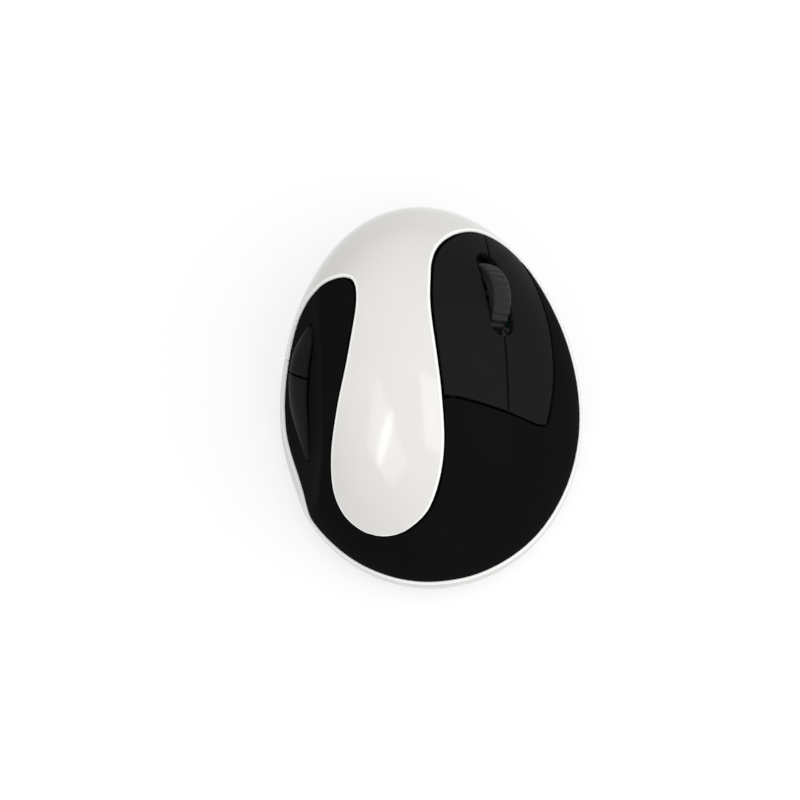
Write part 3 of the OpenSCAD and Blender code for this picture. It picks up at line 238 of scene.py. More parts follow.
# Closed shell between an outer and an inner grid of points
def gridSolid(name, outer, inner, ring=False):
    rows, cols = outer.shape[:2]
    n = rows * cols
    span = cols if ring else cols - 1

    def at(r, c):
        return r * cols + c % cols

    faces = []
    for r in range(rows - 1):
        for c in range(span):
            quad = (at(r, c), at(r, c + 1), at(r + 1, c + 1), at(r + 1, c))
            faces.append(quad)
            faces.append(tuple(i + n for i in reversed(quad)))
    for r in (0, rows - 1):
        faces += [(at(r, c), at(r, c + 1), at(r, c + 1) + n, at(r, c) + n) for c in range(span)]
    if not ring:
        for c in (0, cols - 1):
            faces += [(at(r, c), at(r + 1, c), at(r + 1, c) + n, at(r, c) + n) for r in range(rows - 1)]
    return meshObject(name, np.concatenate([outer.reshape(-1, 3), inner.reshape(-1, 3)]), faces)


# Closed solid through rings of points, capped at both ends
def loftSolid(name, rings):
    count, around = rings.shape[:2]
    base = (count - 1) * around
    faces = []
    for c in range(around):
        d = (c + 1) % around
        for low in range(0, base, around):
            high = low + around
            faces.append((low + c, low + d, high + d, high + c))
        faces += [(count * around, c, d), (count * around + 1, base + d, base + c)]
    ends = np.array([rings[0].mean(axis=0), rings[-1].mean(axis=0)])
    return meshObject(name, np.concatenate([rings.reshape(-1, 3), ends]), faces)


# Steps over a length in mm, close together over a rolled edge at both ends, and how far each one falls
def rolledSteps(length, count, radius):
    turn = np.linspace(0, math.pi / 2, counts["roll"])
    near = radius * (1 - np.cos(turn))
    drop = radius * (1 - np.sin(turn))
    middle = np.linspace(radius, length - radius, count)[1:-1]
    return np.concatenate([near, middle, length - near[::-1]]), np.concatenate([drop, 0 * middle, drop[::-1]])


# Length run so far at each point
def lengths(points, axis):
    step = np.linalg.norm(np.diff(points, axis=axis), axis=-1)
    return np.concatenate([0 * np.take(step, [0], axis), np.cumsum(step, axis)], axis)


# Rows and columns over a panel with rolled edges: places, fall of the surface, room to the nearest edge
def rolledGrid(p):
    fine = np.linspace(p["first"], p["last"], counts["along"])
    run = lengths(skin(p["place"](fine, np.full_like(fine, 0.5))), 0)
    along, rowFall = rolledSteps(run[-1], p["rows"], p["radius"])
    ts = np.interp(along, run, fine)
    probe = np.linspace(0, 1, counts["across"])
    runs = lengths(skin(p["place"](*spread(ts, probe))), 1)
    steps = [rolledSteps(k[-1], p["cols"], p["radius"])[0] for k in runs]
    w = np.array([np.interp(s, k, probe) for s, k in zip(steps, runs)])
    colFall = rolledSteps(runs[0, -1], p["cols"], p["radius"])[1]
    t = np.repeat(ts[:, None], w.shape[1], axis=1)
    room = np.minimum([np.minimum(s, s[-1] - s) for s in steps], np.minimum(along, run[-1] - along)[:, None])
    return t, w, np.maximum(rowFall[:, None], colFall[None, :]), room


# Room to the nearest edge in mm on the outer points, below zero on the inner ones
def markRoom(piece, room):
    marks = piece.data.attributes.new("edgeRoom", "FLOAT", "POINT")
    marks.data.foreach_set("value", np.concatenate([room.ravel(), 0 * room.ravel() - 1]))


def rolledPanel(name, p, proud=0.0):
    t, w, fall, room = rolledGrid(p)
    places = p["place"](t, w)
    piece = gridSolid(name, skin(places, fall - proud), skin(places, wall))
    markRoom(piece, room)
    return piece


# Makes the modifiers part of the mesh
def bake(piece):
    bpy.context.view_layer.update()
    graph = bpy.context.evaluated_depsgraph_get()
    mesh = bpy.data.meshes.new_from_object(piece.evaluated_get(graph))
    piece.modifiers.clear()
    piece.data = mesh


# Cutter that rounds the lip of an opening: its turns in degrees, how high it stands and how far it flares
lip = {"turns": (12, 30, 50, 70, 90), "above": 4, "flare": 1}


# How far out and how deep each ring of the cutter lies
def lipRings(radius, deep):
    turn = np.radians(lip["turns"])
    out = radius * (1 - np.sin(turn))
    down = radius * (1 - np.cos(turn))
    start = down[0] - (lip["flare"] - out[0]) * math.tan(turn[0])
    out = np.concatenate([[lip["flare"], lip["flare"]], out, [0]])
    return list(zip(out, np.concatenate([[-lip["above"], start], down, [deep]])))


def cutOut(piece, cutter):
    mod = piece.modifiers.new("cut", "BOOLEAN")
    mod.operation = "DIFFERENCE"
    mod.solver = "EXACT"
    mod.object = cutter
    bake(piece)
    bpy.data.objects.remove(cutter)


# Shading of every piece: from which angle an edge is sharp, and how much large faces count
shading = {"sharp": 35, "weight": 60}


def finishPiece(piece, spec):
    piece.data.shade_smooth()
    piece.data.set_sharp_from_angle(angle=math.radians(shading["sharp"]))
    mod = piece.modifiers.new("evenNormals", "WEIGHTED_NORMAL")
    mod.keep_sharp = True
    mod.weight = shading["weight"]
    piece.data.materials.clear()
    piece.data.materials.append(spec["material"])
    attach(piece, spec["body"])
    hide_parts(*spec["nodes"])
    return piece


# Shader helpers
def newGroup(name, inputs, outputs):
    tree = bpy.data.node_groups.new(name, "ShaderNodeTree")
    for label, value in inputs.items():
        socket = tree.interface.new_socket(name=label, in_out="INPUT", socket_type="NodeSocketFloat")
        socket.default_value = value
    for label in outputs:
        tree.interface.new_socket(name=label, in_out="OUTPUT", socket_type="NodeSocketFloat")
    return tree, tree.nodes.new("NodeGroupInput"), tree.nodes.new("NodeGroupOutput")


def addNode(tree, kind, **settings):
    node = tree.nodes.new(kind)
    for key, value in settings.items():
        setattr(node, key, value)
    return node


def mathNode(tree, operation, a, b):
    node = addNode(tree, "ShaderNodeMath", operation=operation)
    for socket, value in zip(node.inputs, (a, b)):
        if isinstance(value, (int, float)):
            socket.default_value = value
        else:
            tree.links.new(value, socket)
    return node.outputs[0]


def objectPlace(tree):
    return addNode(tree, "ShaderNodeTexCoord").outputs["Object"]


def placeParts(tree):
    apart = addNode(tree, "ShaderNodeSeparateXYZ")
    tree.links.new(objectPlace(tree), apart.inputs[0])
    return apart.outputs


def noiseNode(tree, scale, detail=2.0, roughness=0.5):
    node = addNode(tree, "ShaderNodeTexNoise")
    tree.links.new(objectPlace(tree), node.inputs["Vector"])
    if isinstance(scale, (int, float)):
        node.inputs["Scale"].default_value = scale
    else:
        tree.links.new(scale, node.inputs["Scale"])
    node.inputs["Detail"].default_value = detail
    node.inputs["Roughness"].default_value = roughness
    return node.outputs["Fac"]


# Moulded grain: fine pits for the bump, and a slow drift for gloss and colour
grain = {"scale": 2600.0, "coarse": 0.4, "broader": 0.3, "driftScale": 45.0, "driftRange": (0.3, 0.7)}


def makeGrainGroup(g):
    inputs = {"Scale": g["scale"], "Coarse": g["coarse"]}
    tree, given, out = newGroup("mouldGrain", inputs, ("Height", "Drift"))
    fine = noiseNode(tree, given.outputs["Scale"], detail=3.0, roughness=0.6)
    broad = noiseNode(tree, mathNode(tree, "MULTIPLY", given.outputs["Scale"], g["broader"]))
    mixed = mathNode(tree, "ADD", fine, mathNode(tree, "MULTIPLY", broad, given.outputs["Coarse"]))
    tree.links.new(mixed, out.inputs["Height"])
    tree.links.new(noiseNode(tree, g["driftScale"], detail=4.0, roughness=0.55), out.inputs["Drift"])
    return tree


grainGroup = makeGrainGroup(grain)


# Linear colour from numbers of 0 to 255
def linear(r, g, b):
    shares = [c / 255 for c in (r, g, b)]
    return tuple(s / 12.92 if s <= 0.04045 else ((s + 0.055) / 1.055) ** 2.4 for s in shares) + (1,)


# Patterns over a piece's own coordinates: scales per metre, and where each mask begins
pattern = {"traceScale": 260.0, "traceLines": 3.5, "traceEdge": 0.74, "streakScale": 1500.0,
           "streakSqueeze": 0.06, "wireScale": 1000.0, "wireEdge": 0.45, "bandStart": 0.011,
           "bandMiddle": -0.025}


def makeTraceGroup(p):
    tree, given, out = newGroup("boardTraces", {"Scale": p["traceScale"]}, ("Mask",))
    cells = addNode(tree, "ShaderNodeTexVoronoi", distance="CHEBYCHEV")
    tree.links.new(objectPlace(tree), cells.inputs["Vector"])
    tree.links.new(given.outputs["Scale"], cells.inputs["Scale"])
    lines = mathNode(tree, "MULTIPLY", cells.outputs["Distance"], p["traceLines"])
    part = mathNode(tree, "FRACT", lines, 0.0)
    tree.links.new(mathNode(tree, "GREATER_THAN", part, p["traceEdge"]), out.inputs["Mask"])
    return tree


def makeStreakGroup(p):
    tree, given, out = newGroup("drawnStreaks", {"Scale": p["streakScale"]}, ("Mask",))
    squeeze = addNode(tree, "ShaderNodeMapping")
    squeeze.inputs["Scale"].default_value = (p["streakSqueeze"], 1, 1)
    tree.links.new(objectPlace(tree), squeeze.inputs["Vector"])
    streak = addNode(tree, "ShaderNodeTexNoise")
    tree.links.new(squeeze.outputs["Vector"], streak.inputs["Vector"])
    tree.links.new(given.outputs["Scale"], streak.inputs["Scale"])
    tree.links.new(streak.outputs["Fac"], out.inputs["Mask"])
    return tree


def makeStripeGroup(p):
    tree, given, out = newGroup("flatWires", {"Scale": p["wireScale"]}, ("Mask",))
    wires = mathNode(tree, "MULTIPLY", placeParts(tree)["Y"], given.outputs["Scale"])
    part = mathNode(tree, "FRACT", wires, 0.0)
    tree.links.new(mathNode(tree, "GREATER_THAN", part, p["wireEdge"]), out.inputs["Mask"])
    return tree


# Coloured end of each cell, on the other side for the one behind
def makeBandGroup(p):
    tree, given, out = newGroup("cellBand", {"Start": p["bandStart"], "Middle": p["bandMiddle"]}, ("Mask",))
    parts = placeParts(tree)
    ahead = mathNode(tree, "SUBTRACT", parts["Y"], given.outputs["Middle"])
    along = mathNode(tree, "MULTIPLY", parts["X"], mathNode(tree, "SIGN", ahead, 0.0))
    tree.links.new(mathNode(tree, "GREATER_THAN", along, given.outputs["Start"]), out.inputs["Mask"])
    return tree


patternGroups = {"traces": makeTraceGroup(pattern), "streaks": makeStreakGroup(pattern),
                 "stripes": makeStripeGroup(pattern), "band": makeBandGroup(pattern)}


def mixNode(tree, factor, a, b):
    node = addNode(tree, "ShaderNodeMix", data_type="RGBA")
    tree.links.new(factor, node.inputs["Factor"])
    for socket, value in ((node.inputs["A"], a), (node.inputs["B"], b)):
        if isinstance(value, tuple):
            socket.default_value = value
        else:
            tree.links.new(value, socket)
    return node.outputs["Result"]


def rangeNode(tree, value, low, high, start=0.0, stop=1.0):
    node = addNode(tree, "ShaderNodeMapRange")
    tree.links.new(value, node.inputs["Value"])
    settings = {"From Min": start, "From Max": stop, "To Min": low, "To Max": high}
    for label, number in settings.items():
        node.inputs[label].default_value = number
    return node.outputs["Result"]


# What a finish has unless it says otherwise; depth of the grain in mm
plainFinish = {"scale": grain["scale"], "coarse": grain["coarse"], "bump": 0.2, "depth": 0.02, "metal": 0.0,
               "specular": 0.5, "coat": 0.0, "coatRough": 0.05, "clear": 0.0}


# A finish: colour with a slow drift, gloss range, grain, a painted highlight on the rolled edges, painted shade
# on the walls and inner faces, or a pattern in a second colour
def moulded(name, finish):
    f = {**plainFinish, **finish}
    material = bpy.data.materials.new(name)
    material.use_nodes = True
    tree = material.node_tree
    shader = tree.nodes["Principled BSDF"]
    pits = addNode(tree, "ShaderNodeGroup", node_tree=grainGroup)
    pits.inputs["Scale"].default_value = f["scale"]
    pits.inputs["Coarse"].default_value = f["coarse"]
    drift = rangeNode(tree, pits.outputs["Drift"], 0.0, 1.0, *grain["driftRange"])
    colour = mixNode(tree, drift, linear(*f["dark"]), linear(*f["light"]))
    if "inside" in f:
        room = addNode(tree, "ShaderNodeAttribute", attribute_name="edgeRoom").outputs["Fac"]
        # Painted highlight: a lighter colour over the rolled edge, fading out with the room to the edge in mm
        if "rim" in f:
            colour = mixNode(tree, rangeNode(tree, room, 1.0, 0.0, *f["rimRoom"]), colour, linear(*f["rim"]))
        # Painted shade: a dark colour on the walls and inner faces, where the gaps between panels fall in shade
        colour = mixNode(tree, rangeNode(tree, room, 1.0, 0.0, *f["wallShadeRoom"]), colour, linear(*f["inside"]))
    if "pattern" in f:
        mask = addNode(tree, "ShaderNodeGroup", node_tree=patternGroups[f["pattern"]]).outputs["Mask"]
        colour = mixNode(tree, mask, colour, linear(*f["second"]))
    tree.links.new(colour, shader.inputs["Base Color"])
    tree.links.new(rangeNode(tree, drift, *f["rough"]), shader.inputs["Roughness"])
    bump = addNode(tree, "ShaderNodeBump")
    bump.inputs["Strength"].default_value = f["bump"]
    bump.inputs["Distance"].default_value = f["depth"] * mm
    tree.links.new(pits.outputs["Height"], bump.inputs["Height"])
    tree.links.new(bump.outputs["Normal"], shader.inputs["Normal"])
    shader.inputs["Metallic"].default_value = f["metal"]
    shader.inputs["Specular IOR Level"].default_value = f["specular"]
    shader.inputs["Coat Weight"].default_value = f["coat"]
    shader.inputs["Coat Roughness"].default_value = f["coatRough"]
    shader.inputs["Transmission Weight"].default_value = f["clear"]
    return material


# Finishes: colours of 0 to 255, roughness from and to, and what differs from the plain finish
finishes = {
    # White shell: the rim colour is a painted highlight along the rolled edges, the inside colour is painted
    # shade on the walls and inner faces in the gaps
    "whiteShell": {"dark": (218, 216, 212), "light": (221, 219, 215), "rough": (0.1, 0.13), "coat": 0.35,
                   "coatRough": 0.04, "scale": 900.0, "bump": 0.02, "depth": 0.01, "rim": (246, 246, 244),
                   "rimRoom": (0.75, 1.05), "inside": (26, 26, 27), "wallShadeRoom": (-0.15, -0.03)},
    "softBlack": {"dark": (15, 15, 16), "light": (18, 18, 19), "rough": (0.7, 0.8), "specular": 0.01,
                  "bump": 0.35, "depth": 0.03, "scale": 3200.0},
    "satinBlack": {"dark": (27, 26, 26), "light": (30, 29, 29), "rough": (0.52, 0.6), "specular": 0.02,
                   "bump": 0.2, "depth": 0.02, "scale": 3200.0},
    # Side buttons: the inside colour is painted shade on the walls, standing in for the shadowed gap round each
    # button
    "sideBlack": {"dark": (27, 27, 28), "light": (31, 31, 32), "rough": (0.5, 0.58), "specular": 0.02,
                  "bump": 0.15, "depth": 0.02, "inside": (9, 9, 10), "wallShadeRoom": (-0.12, -0.02)},
    "baseBlack": {"dark": (26, 26, 28), "light": (34, 34, 36), "rough": (0.5, 0.62), "bump": 0.5,
                  "depth": 0.05, "scale": 1700.0, "coarse": 0.8},
    "footGlide": {"dark": (48, 48, 52), "light": (58, 58, 62), "rough": (0.32, 0.42), "bump": 0.15},
    "rubber": {"dark": (17, 17, 18), "light": (23, 23, 24), "rough": (0.6, 0.72), "bump": 0.3, "depth": 0.03},
    "steel": {"dark": (176, 178, 181), "light": (196, 198, 200), "rough": (0.22, 0.34), "metal": 1.0,
              "bump": 0.1, "pattern": "streaks", "second": (206, 208, 210)},
    "zinc": {"dark": (150, 152, 156), "light": (178, 180, 183), "rough": (0.3, 0.45), "metal": 1.0},
    "nickel": {"dark": (186, 182, 172), "light": (204, 200, 190), "rough": (0.2, 0.3), "metal": 1.0,
               "bump": 0.1},
    "board": {"dark": (22, 84, 52), "light": (30, 100, 62), "rough": (0.3, 0.42), "coat": 0.3, "bump": 0.2,
              "pattern": "traces", "second": (52, 124, 80)},
    "chip": {"dark": (28, 28, 30), "light": (36, 36, 38), "rough": (0.45, 0.55), "bump": 0.25},
    "lens": {"dark": (222, 232, 240), "light": (232, 240, 246), "rough": (0.05, 0.1), "clear": 0.9,
             "bump": 0.02},
    "switch": {"dark": (24, 24, 26), "light": (32, 32, 34), "rough": (0.38, 0.5), "bump": 0.2},
    "redPlunger": {"dark": (188, 58, 40), "light": (204, 72, 50), "rough": (0.35, 0.45), "bump": 0.1},
    "bonePlunger": {"dark": (198, 192, 178), "light": (210, 204, 190), "rough": (0.35, 0.45), "bump": 0.1},
    "dongle": {"dark": (30, 30, 32), "light": (36, 36, 38), "rough": (0.35, 0.45), "bump": 0.15},
    "cell": {"dark": (54, 60, 68), "light": (66, 72, 82), "rough": (0.25, 0.35), "coat": 0.4, "bump": 0.08,
             "pattern": "band", "second": (176, 132, 84)},
    "chassis": {"dark": (34, 34, 37), "light": (42, 42, 45), "rough": (0.48, 0.6), "bump": 0.35,
                "depth": 0.04},
    "hub": {"dark": (40, 40, 43), "light": (48, 48, 51), "rough": (0.35, 0.45), "bump": 0.15},
    "encoder": {"dark": (34, 82, 60), "light": (44, 96, 72), "rough": (0.35, 0.45), "bump": 0.15},
    "rotor": {"dark": (208, 208, 200), "light": (220, 220, 214), "rough": (0.35, 0.45), "bump": 0.1},
    "ribbon": {"dark": (200, 196, 184), "light": (214, 210, 200), "rough": (0.4, 0.5), "bump": 0.1,
               "pattern": "stripes", "second": (168, 162, 148)},
}
paints = {name: moulded(name, f) for name, f in finishes.items()}
print("materials ready:", len(paints))


# Hood and spine
hood = {"first": 0, "last": len(edges["coverLeft"]) - 1, "rows": 150, "cols": 44, "radius": 0.6,
        "place": coverPlace, "material": paints["whiteShell"], "body": "housing", "nodes": ("top_cover",),
        "slot": "white_shell"}
finishPiece(rolledPanel("hood", hood, whiteProud), hood)

# Lower case round the foot
lowerCase = {"grip": 220, "seam": 90, "rows": 12, "low": 3.6, "radius": 0.6, "material": paints["whiteShell"],
             "body": "housing", "nodes": ("lower_case",), "slot": "white_shell"}


def buildLowerCase(c):
    last = len(edges["gripOuter"]) - 1
    edge = np.concatenate([curve(edges["gripOuter"], np.linspace(0, last, c["grip"])),
                           seam(np.linspace(1, 0, c["seam"])[1:-1])])
    a = np.arctan2(edge[:, 1], edge[:, 0])
    s = np.hypot(edge[:, 0], edge[:, 1]) + panelGap / dome["mapMm"]
    high = (level(c["low"]) - s) * dome["mapMm"]
    steps = np.array([rolledSteps(h, c["rows"], c["radius"])[0] for h in high]).T
    fall = rolledSteps(high[0], c["rows"], c["radius"])[1][:, None]
    places = polar(s + steps / dome["mapMm"], np.repeat(a[None, :], len(steps), axis=0))
    piece = gridSolid("lowerCase", skin(places, fall - whiteProud), skin(places, wall), ring=True)
    markRoom(piece, np.minimum(steps, high - steps))
    return finishPiece(piece, c)


buildLowerCase(lowerCase)

# Black grip with the leaf's opening
grip = {"first": 0.28, "last": len(edges["gripOuter"]) - 1.12, "rows": 230, "cols": 30, "radius": 0.4,
        "place": gripPlace, "leafRoom": 0.2, "leafGap": 0.9, "lip": 0.5, "cutBelow": 3, "cutSteps": 50,
        "material": paints["softBlack"], "body": "housing", "nodes": ("grip_panel",), "slot": "black_grip"}


def leafCutter(g):
    last = len(edges["leafUpper"]) - 1
    t, w = spread(np.linspace(-g["leafRoom"], last + g["leafRoom"], g["cutSteps"]), [0, 1])
    rings = []
    for out, deep in lipRings(g["lip"], wall + g["cutBelow"]):
        places = across(edges["leafUpper"], edges["leafLower"], t, w, -(g["leafGap"] + out), -(sideGap + out))
        rings.append(skin(np.concatenate([places[:, 0], places[::-1, 1]]), deep))
    return loftSolid("leafCutter", np.array(rings))


gripPanel = rolledPanel("gripPanel", grip)
cutOut(gripPanel, leafCutter(grip))
finishPiece(gripPanel, grip)
print("shell built")

# Working frames of the main buttons, with the rounds that find the skin there, and of the side buttons
fingerFrame = {"at": (42.8, 16.8), "yaw": 9, "tilt": 36, "rounds": 9}
thumbFrame = {"yaw": 8, "tilt": -71}


def frameAxes(f):
    y, t = math.radians(f["yaw"]), math.radians(f["tilt"])
    turn = np.array([[math.cos(y), -math.sin(y), 0], [math.sin(y), math.cos(y), 0], [0, 0, 1]])
    lean = np.array([[math.cos(t), 0, math.sin(t)], [0, 1, 0], [-math.sin(t), 0, math.cos(t)]])
    return (turn @ lean).T


fingerAxes = frameAxes(fingerFrame)
fingerOrigin = skin(np.array(fingerFrame["at"]))
thumbAxes = frameAxes(thumbFrame)


def fingerLocal(m):
    return (skin(m) - fingerOrigin) @ fingerAxes.T


# Height of the skin over places in the main buttons' frame
def fingerSkin(x, y):
    m = np.zeros(x.shape + (2,)) + fingerFrame["at"]
    for _ in range(fingerFrame["rounds"]):
        p = fingerLocal(m)
        pu, pv = fingerLocal(m + (1, 0)) - p, fingerLocal(m + (0, 1)) - p
        det = pu[..., 0] * pv[..., 1] - pv[..., 0] * pu[..., 1]
        dx, dy = x - p[..., 0], y - p[..., 1]
        du = (dx * pv[..., 1] - dy * pv[..., 0]) / det
        dv = (dy * pu[..., 0] - dx * pu[..., 1]) / det
        m = m + np.stack([du, dv], -1)
    return fingerLocal(m)[..., 2]


def fromFinger(x, y, z):
    return fingerOrigin + np.stack([x, y, z], -1) @ fingerAxes


# Scroll wheel with its slot between the main buttons
wheel = {"radius": 12, "width": 6.4, "stand": 3.5, "tyre": 2.38, "ribs": 30, "ribSteps": 10, "ribFlat": 1.6,
         "groove": 0.45, "shoulder": 1.3, "bendSteps": 7, "treadSteps": 5, "slotEnd": 5.5, "slotSide": 1.0,
         "lip": 0.6, "cutBelow": 6, "capSteps": 21, "sideSteps": 22, "material": paints["rubber"],
         "body": "wheel", "nodes": ("wheel_tyre",), "slot": "tyre"}
wheelSunk = wheel["stand"] - wheel["radius"]


def slotCutter(s):
    half = s["width"] / 2 + s["slotSide"]
    straight = math.sqrt(s["radius"] ** 2 - wheelSunk ** 2) + s["slotEnd"] - half
    turn = np.linspace(0, math.pi, s["capSteps"])
    side = np.linspace(straight, -straight, s["sideSteps"] + 2)[1:-1]
    rings = []
    for out, deep in lipRings(s["lip"], wall + s["cutBelow"]):
        r = half + out
        cap = np.stack([r * np.cos(turn), straight + r * np.sin(turn)], -1)
        run = np.stack([0 * side - r, side], -1)
        outline = np.concatenate([cap, run, -cap, -run])
        rings.append(fromFinger(*outline.T, fingerSkin(*outline.T) - deep))
    return loftSolid("slotCutter", np.array(rings))


# Main buttons; the bow of the right one's front edge is in percent of the map
mainButton = {"first": 0.02, "rows": 90, "cols": 30, "radius": 0.5, "backSteps": 90, "frontBow": 3.2,
              "bowTurn": 6, "material": paints["satinBlack"], "slot": "black_button"}


# A button's back edge follows the grip's edge behind it
def backFit(start, t):
    first = thumbEnd + 1 + spineRows
    last = first + len(edges["gripBack"]) - 1
    edge = curve(edges["gripInner"], np.linspace(first, last, mainButton["backSteps"]))
    shift = np.interp(start[..., 0], edge[:, 0], edge[:, 1]) + backGap / dome["mapMm"] - start[..., 1]
    return np.stack([0 * t, shift * np.maximum(0, 1 - t) ** 2], -1)


def leftPlace(t, w):
    def place(t):
        return across(edges["leftInner"], edges["split"], t, w, buttonGap, panelGap / 2)
    return place(t) + backFit(place(0 * t), t)


def rightPlace(t, w):
    last = len(edges["split"]) - 1

    def place(t):
        bow = mainButton["frontBow"] * (1 - (2 * w - 1) ** 2) * (t / last) ** mainButton["bowTurn"]
        flat = across(edges["split"], edges["rightLower"], t, w, panelGap / 2, panelGap)
        return flat + np.stack([0 * t, bow], -1)
    return place(t) + backFit(place(0 * t), t)


mainButtons = {
    "leftButton": {"last": 8.75, "place": leftPlace, "body": "left_button", "nodes": ("left_button",)},
    "rightButton": {"last": 8.95, "place": rightPlace, "body": "right_button", "nodes": ("right_button",)},
}
for name, button in mainButtons.items():
    spec = {**mainButton, **button}
    piece = rolledPanel(name, spec)
    cutOut(piece, slotCutter(wheel))
    finishPiece(piece, spec)


# Ribbed tyre with round shoulders
def buildTyre(s):
    around = np.linspace(0, 2 * math.pi, s["ribs"] * s["ribSteps"], endpoint=False)
    half, inner = s["width"] / 2, s["radius"] - s["tyre"]
    bend = np.linspace(0, math.pi / 2, s["bendSteps"])
    shoulderX = half - s["shoulder"] * (1 - np.sin(bend))
    shoulderR = s["radius"] - s["shoulder"] * (1 - np.cos(bend))
    treadX = np.linspace(-shoulderX[0], shoulderX[0], s["treadSteps"] + 2)[1:-1]
    treadR = np.full(s["treadSteps"], s["radius"])
    x = np.concatenate([[-half], -shoulderX[::-1], treadX, shoulderX, [half]])
    r = np.concatenate([[inner], shoulderR[::-1], treadR, shoulderR, [inner]])
    rib = np.clip(np.cos(around * s["ribs"]) * s["ribFlat"], -1, 1)
    tread = np.clip((r - s["radius"] + s["shoulder"]) / s["shoulder"], 0, 1)
    out = r[:, None] - s["groove"] * (0.5 - 0.5 * rib) * tread[:, None]
    y, z = out * np.sin(around), wheelSunk + out * np.cos(around)
    rings = fromFinger(np.repeat(x[:, None], len(around), axis=1), y, z)
    rows, count = rings.shape[:2]
    faces = []
    for row in range(rows):
        low, high = row * count, (row + 1) % rows * count
        for c in range(count):
            d = (c + 1) % count
            faces.append((low + c, low + d, high + d, high + c))
    return finishPiece(meshObject("tyre", rings.reshape(-1, 3), faces), s)


buildTyre(wheel)

# Side buttons, parted from one leaf; its stand over the skin is a half wave from end to end, to the power "tip",
# times a part of one across, which starts at "from", runs over "span" and rises from the share "edge"
leaf = {"stand": 3.4, "tip": 0.7, "edge": 0.2, "from": 0.05, "span": 0.75, "flange": 3.1, "rows": 44,
        "cols": 26, "radius": 0.45, "material": paints["sideBlack"], "slot": "side_button"}
sideButtons = {
    "forwardButton": {"first": 0.12, "last": 2.41, "body": "forward_button", "nodes": ("forward_button",)},
    "backButton": {"first": 2.49, "last": 5.0, "body": "back_button", "nodes": ("back_button",)},
}


def leafPlace(t, w):
    return across(edges["leafUpper"], edges["leafLower"], t, w)


def leafSwell(t, w):
    last = len(edges["leafUpper"]) - 1
    arch = np.sin(np.pi * np.clip(t / last, 0, 1)) ** leaf["tip"]
    share = leaf["edge"] + (1 - leaf["edge"]) * np.sin(np.pi * (leaf["from"] + leaf["span"] * w))
    return leaf["stand"] * arch * share


def buildSideButton(name, b):
    t, w, fall, room = rolledGrid(b)
    places = leafPlace(t, w)
    outer = skin(places) + (leafSwell(t, w) - fall)[..., None] * thumbAxes[2]
    piece = gridSolid(name, outer, skin(places, leaf["flange"]))
    markRoom(piece, room)
    return finishPiece(piece, b)


for name, button in sideButtons.items():
    buildSideButton(name, {**leaf, **button, "place": leafPlace})
print("buttons built")

# How edges are softened: weld in mm, angle of flat faces in radians, of sharp edges in degrees
softening = {"weld": 0.001, "flat": 0.01, "sharp": 40, "segments": 3}

# CAD solids with their outer edges softened: how wide, and for edges up to which height, in mm
softened = {
    "basePlate": {"width": 0.35, "upTo": 1, "material": paints["baseBlack"], "body": "housing",
                  "nodes": ("base_plate",), "slot": "base_black"},
    "batteryDoor": {"width": 0.2, "upTo": 1, "material": paints["baseBlack"], "body": "battery_door",
                    "nodes": ("battery_door",), "slot": "base_black"},
    "glideFeet": {"width": 0.25, "upTo": 0.1, "material": paints["footGlide"], "body": "housing",
                  "nodes": ("feet",), "slot": "foot"},
    "receiverCap": {"width": 0.3, "upTo": 20, "material": paints["dongle"], "body": "receiver",
                    "nodes": ("receiver_cap",), "slot": "receiver"},
}


def soften(name, s):
    solid = nodes[s["nodes"][0]]
    sharpest = math.radians(softening["sharp"])
    work = bmesh.new()
    work.from_mesh(solid.data)
    work.transform(solid.matrix_world)
    bmesh.ops.remove_doubles(work, verts=work.verts, dist=softening["weld"] * mm)
    bmesh.ops.dissolve_limit(work, angle_limit=softening["flat"], verts=work.verts, edges=work.edges)
    sharp = [e for e in work.edges if e.is_manifold and e.is_convex and e.calc_face_angle() > sharpest
             and max(v.co.z for v in e.verts) < s["upTo"] * mm]
    bmesh.ops.bevel(work, geom=sharp, offset=s["width"] * mm, offset_type="OFFSET", profile=0.5,
                    segments=softening["segments"], affect="EDGES", clamp_overlap=False)
    mesh = bpy.data.meshes.new(name)
    work.to_mesh(mesh)
    work.free()
    piece = bpy.data.objects.new(name, mesh)
    scene.collection.objects.link(piece)
    return finishPiece(piece, s)


for name, spec in softened.items():
    soften(name, spec)
print("base softened")

# Remaining CAD nodes, each in its own finish
dressed = {
    "zinc": ("base_screws", "board_screws"),
    "board": ("main_board", "button_board", "side_board"),
    "chip": ("controller_chip", "sensor"),
    "lens": ("lens",),
    "steel": ("power_switch", "receiver_plug", "wheel_axle"),
    "hub": ("wheel_hub", "power_slider"),
    "cell": ("battery_cells",),
    "nickel": ("battery_springs", "battery_plates"),
    "chassis": ("chassis", "wheel_carrier"),
    "encoder": ("encoder",),
    "rotor": ("encoder_rotor",),
    "switch": ("left_switch", "right_switch", "wheel_switch", "forward_switch", "back_switch"),
    "redPlunger": ("left_plunger", "right_plunger"),
    "bonePlunger": ("wheel_plunger", "forward_plunger", "back_plunger"),
    "ribbon": ("button_ribbon", "side_ribbon"),
}
for finish, names in dressed.items():
    for name in names:
        slots = nodes[name].data.materials
        for i in range(len(slots)):
            slots[i] = paints[finish]
print("nodes dressed")

# Pale floor: white to the eye and in reflections with a light shadow, greyer to the light that it throws back
floor = {"size": 3.0, "low": 0.05, "pale": (252, 252, 252), "bounce": (188, 188, 188), "shadowLift": 0.7,
         "rough": 0.9, "specular": 0.1}


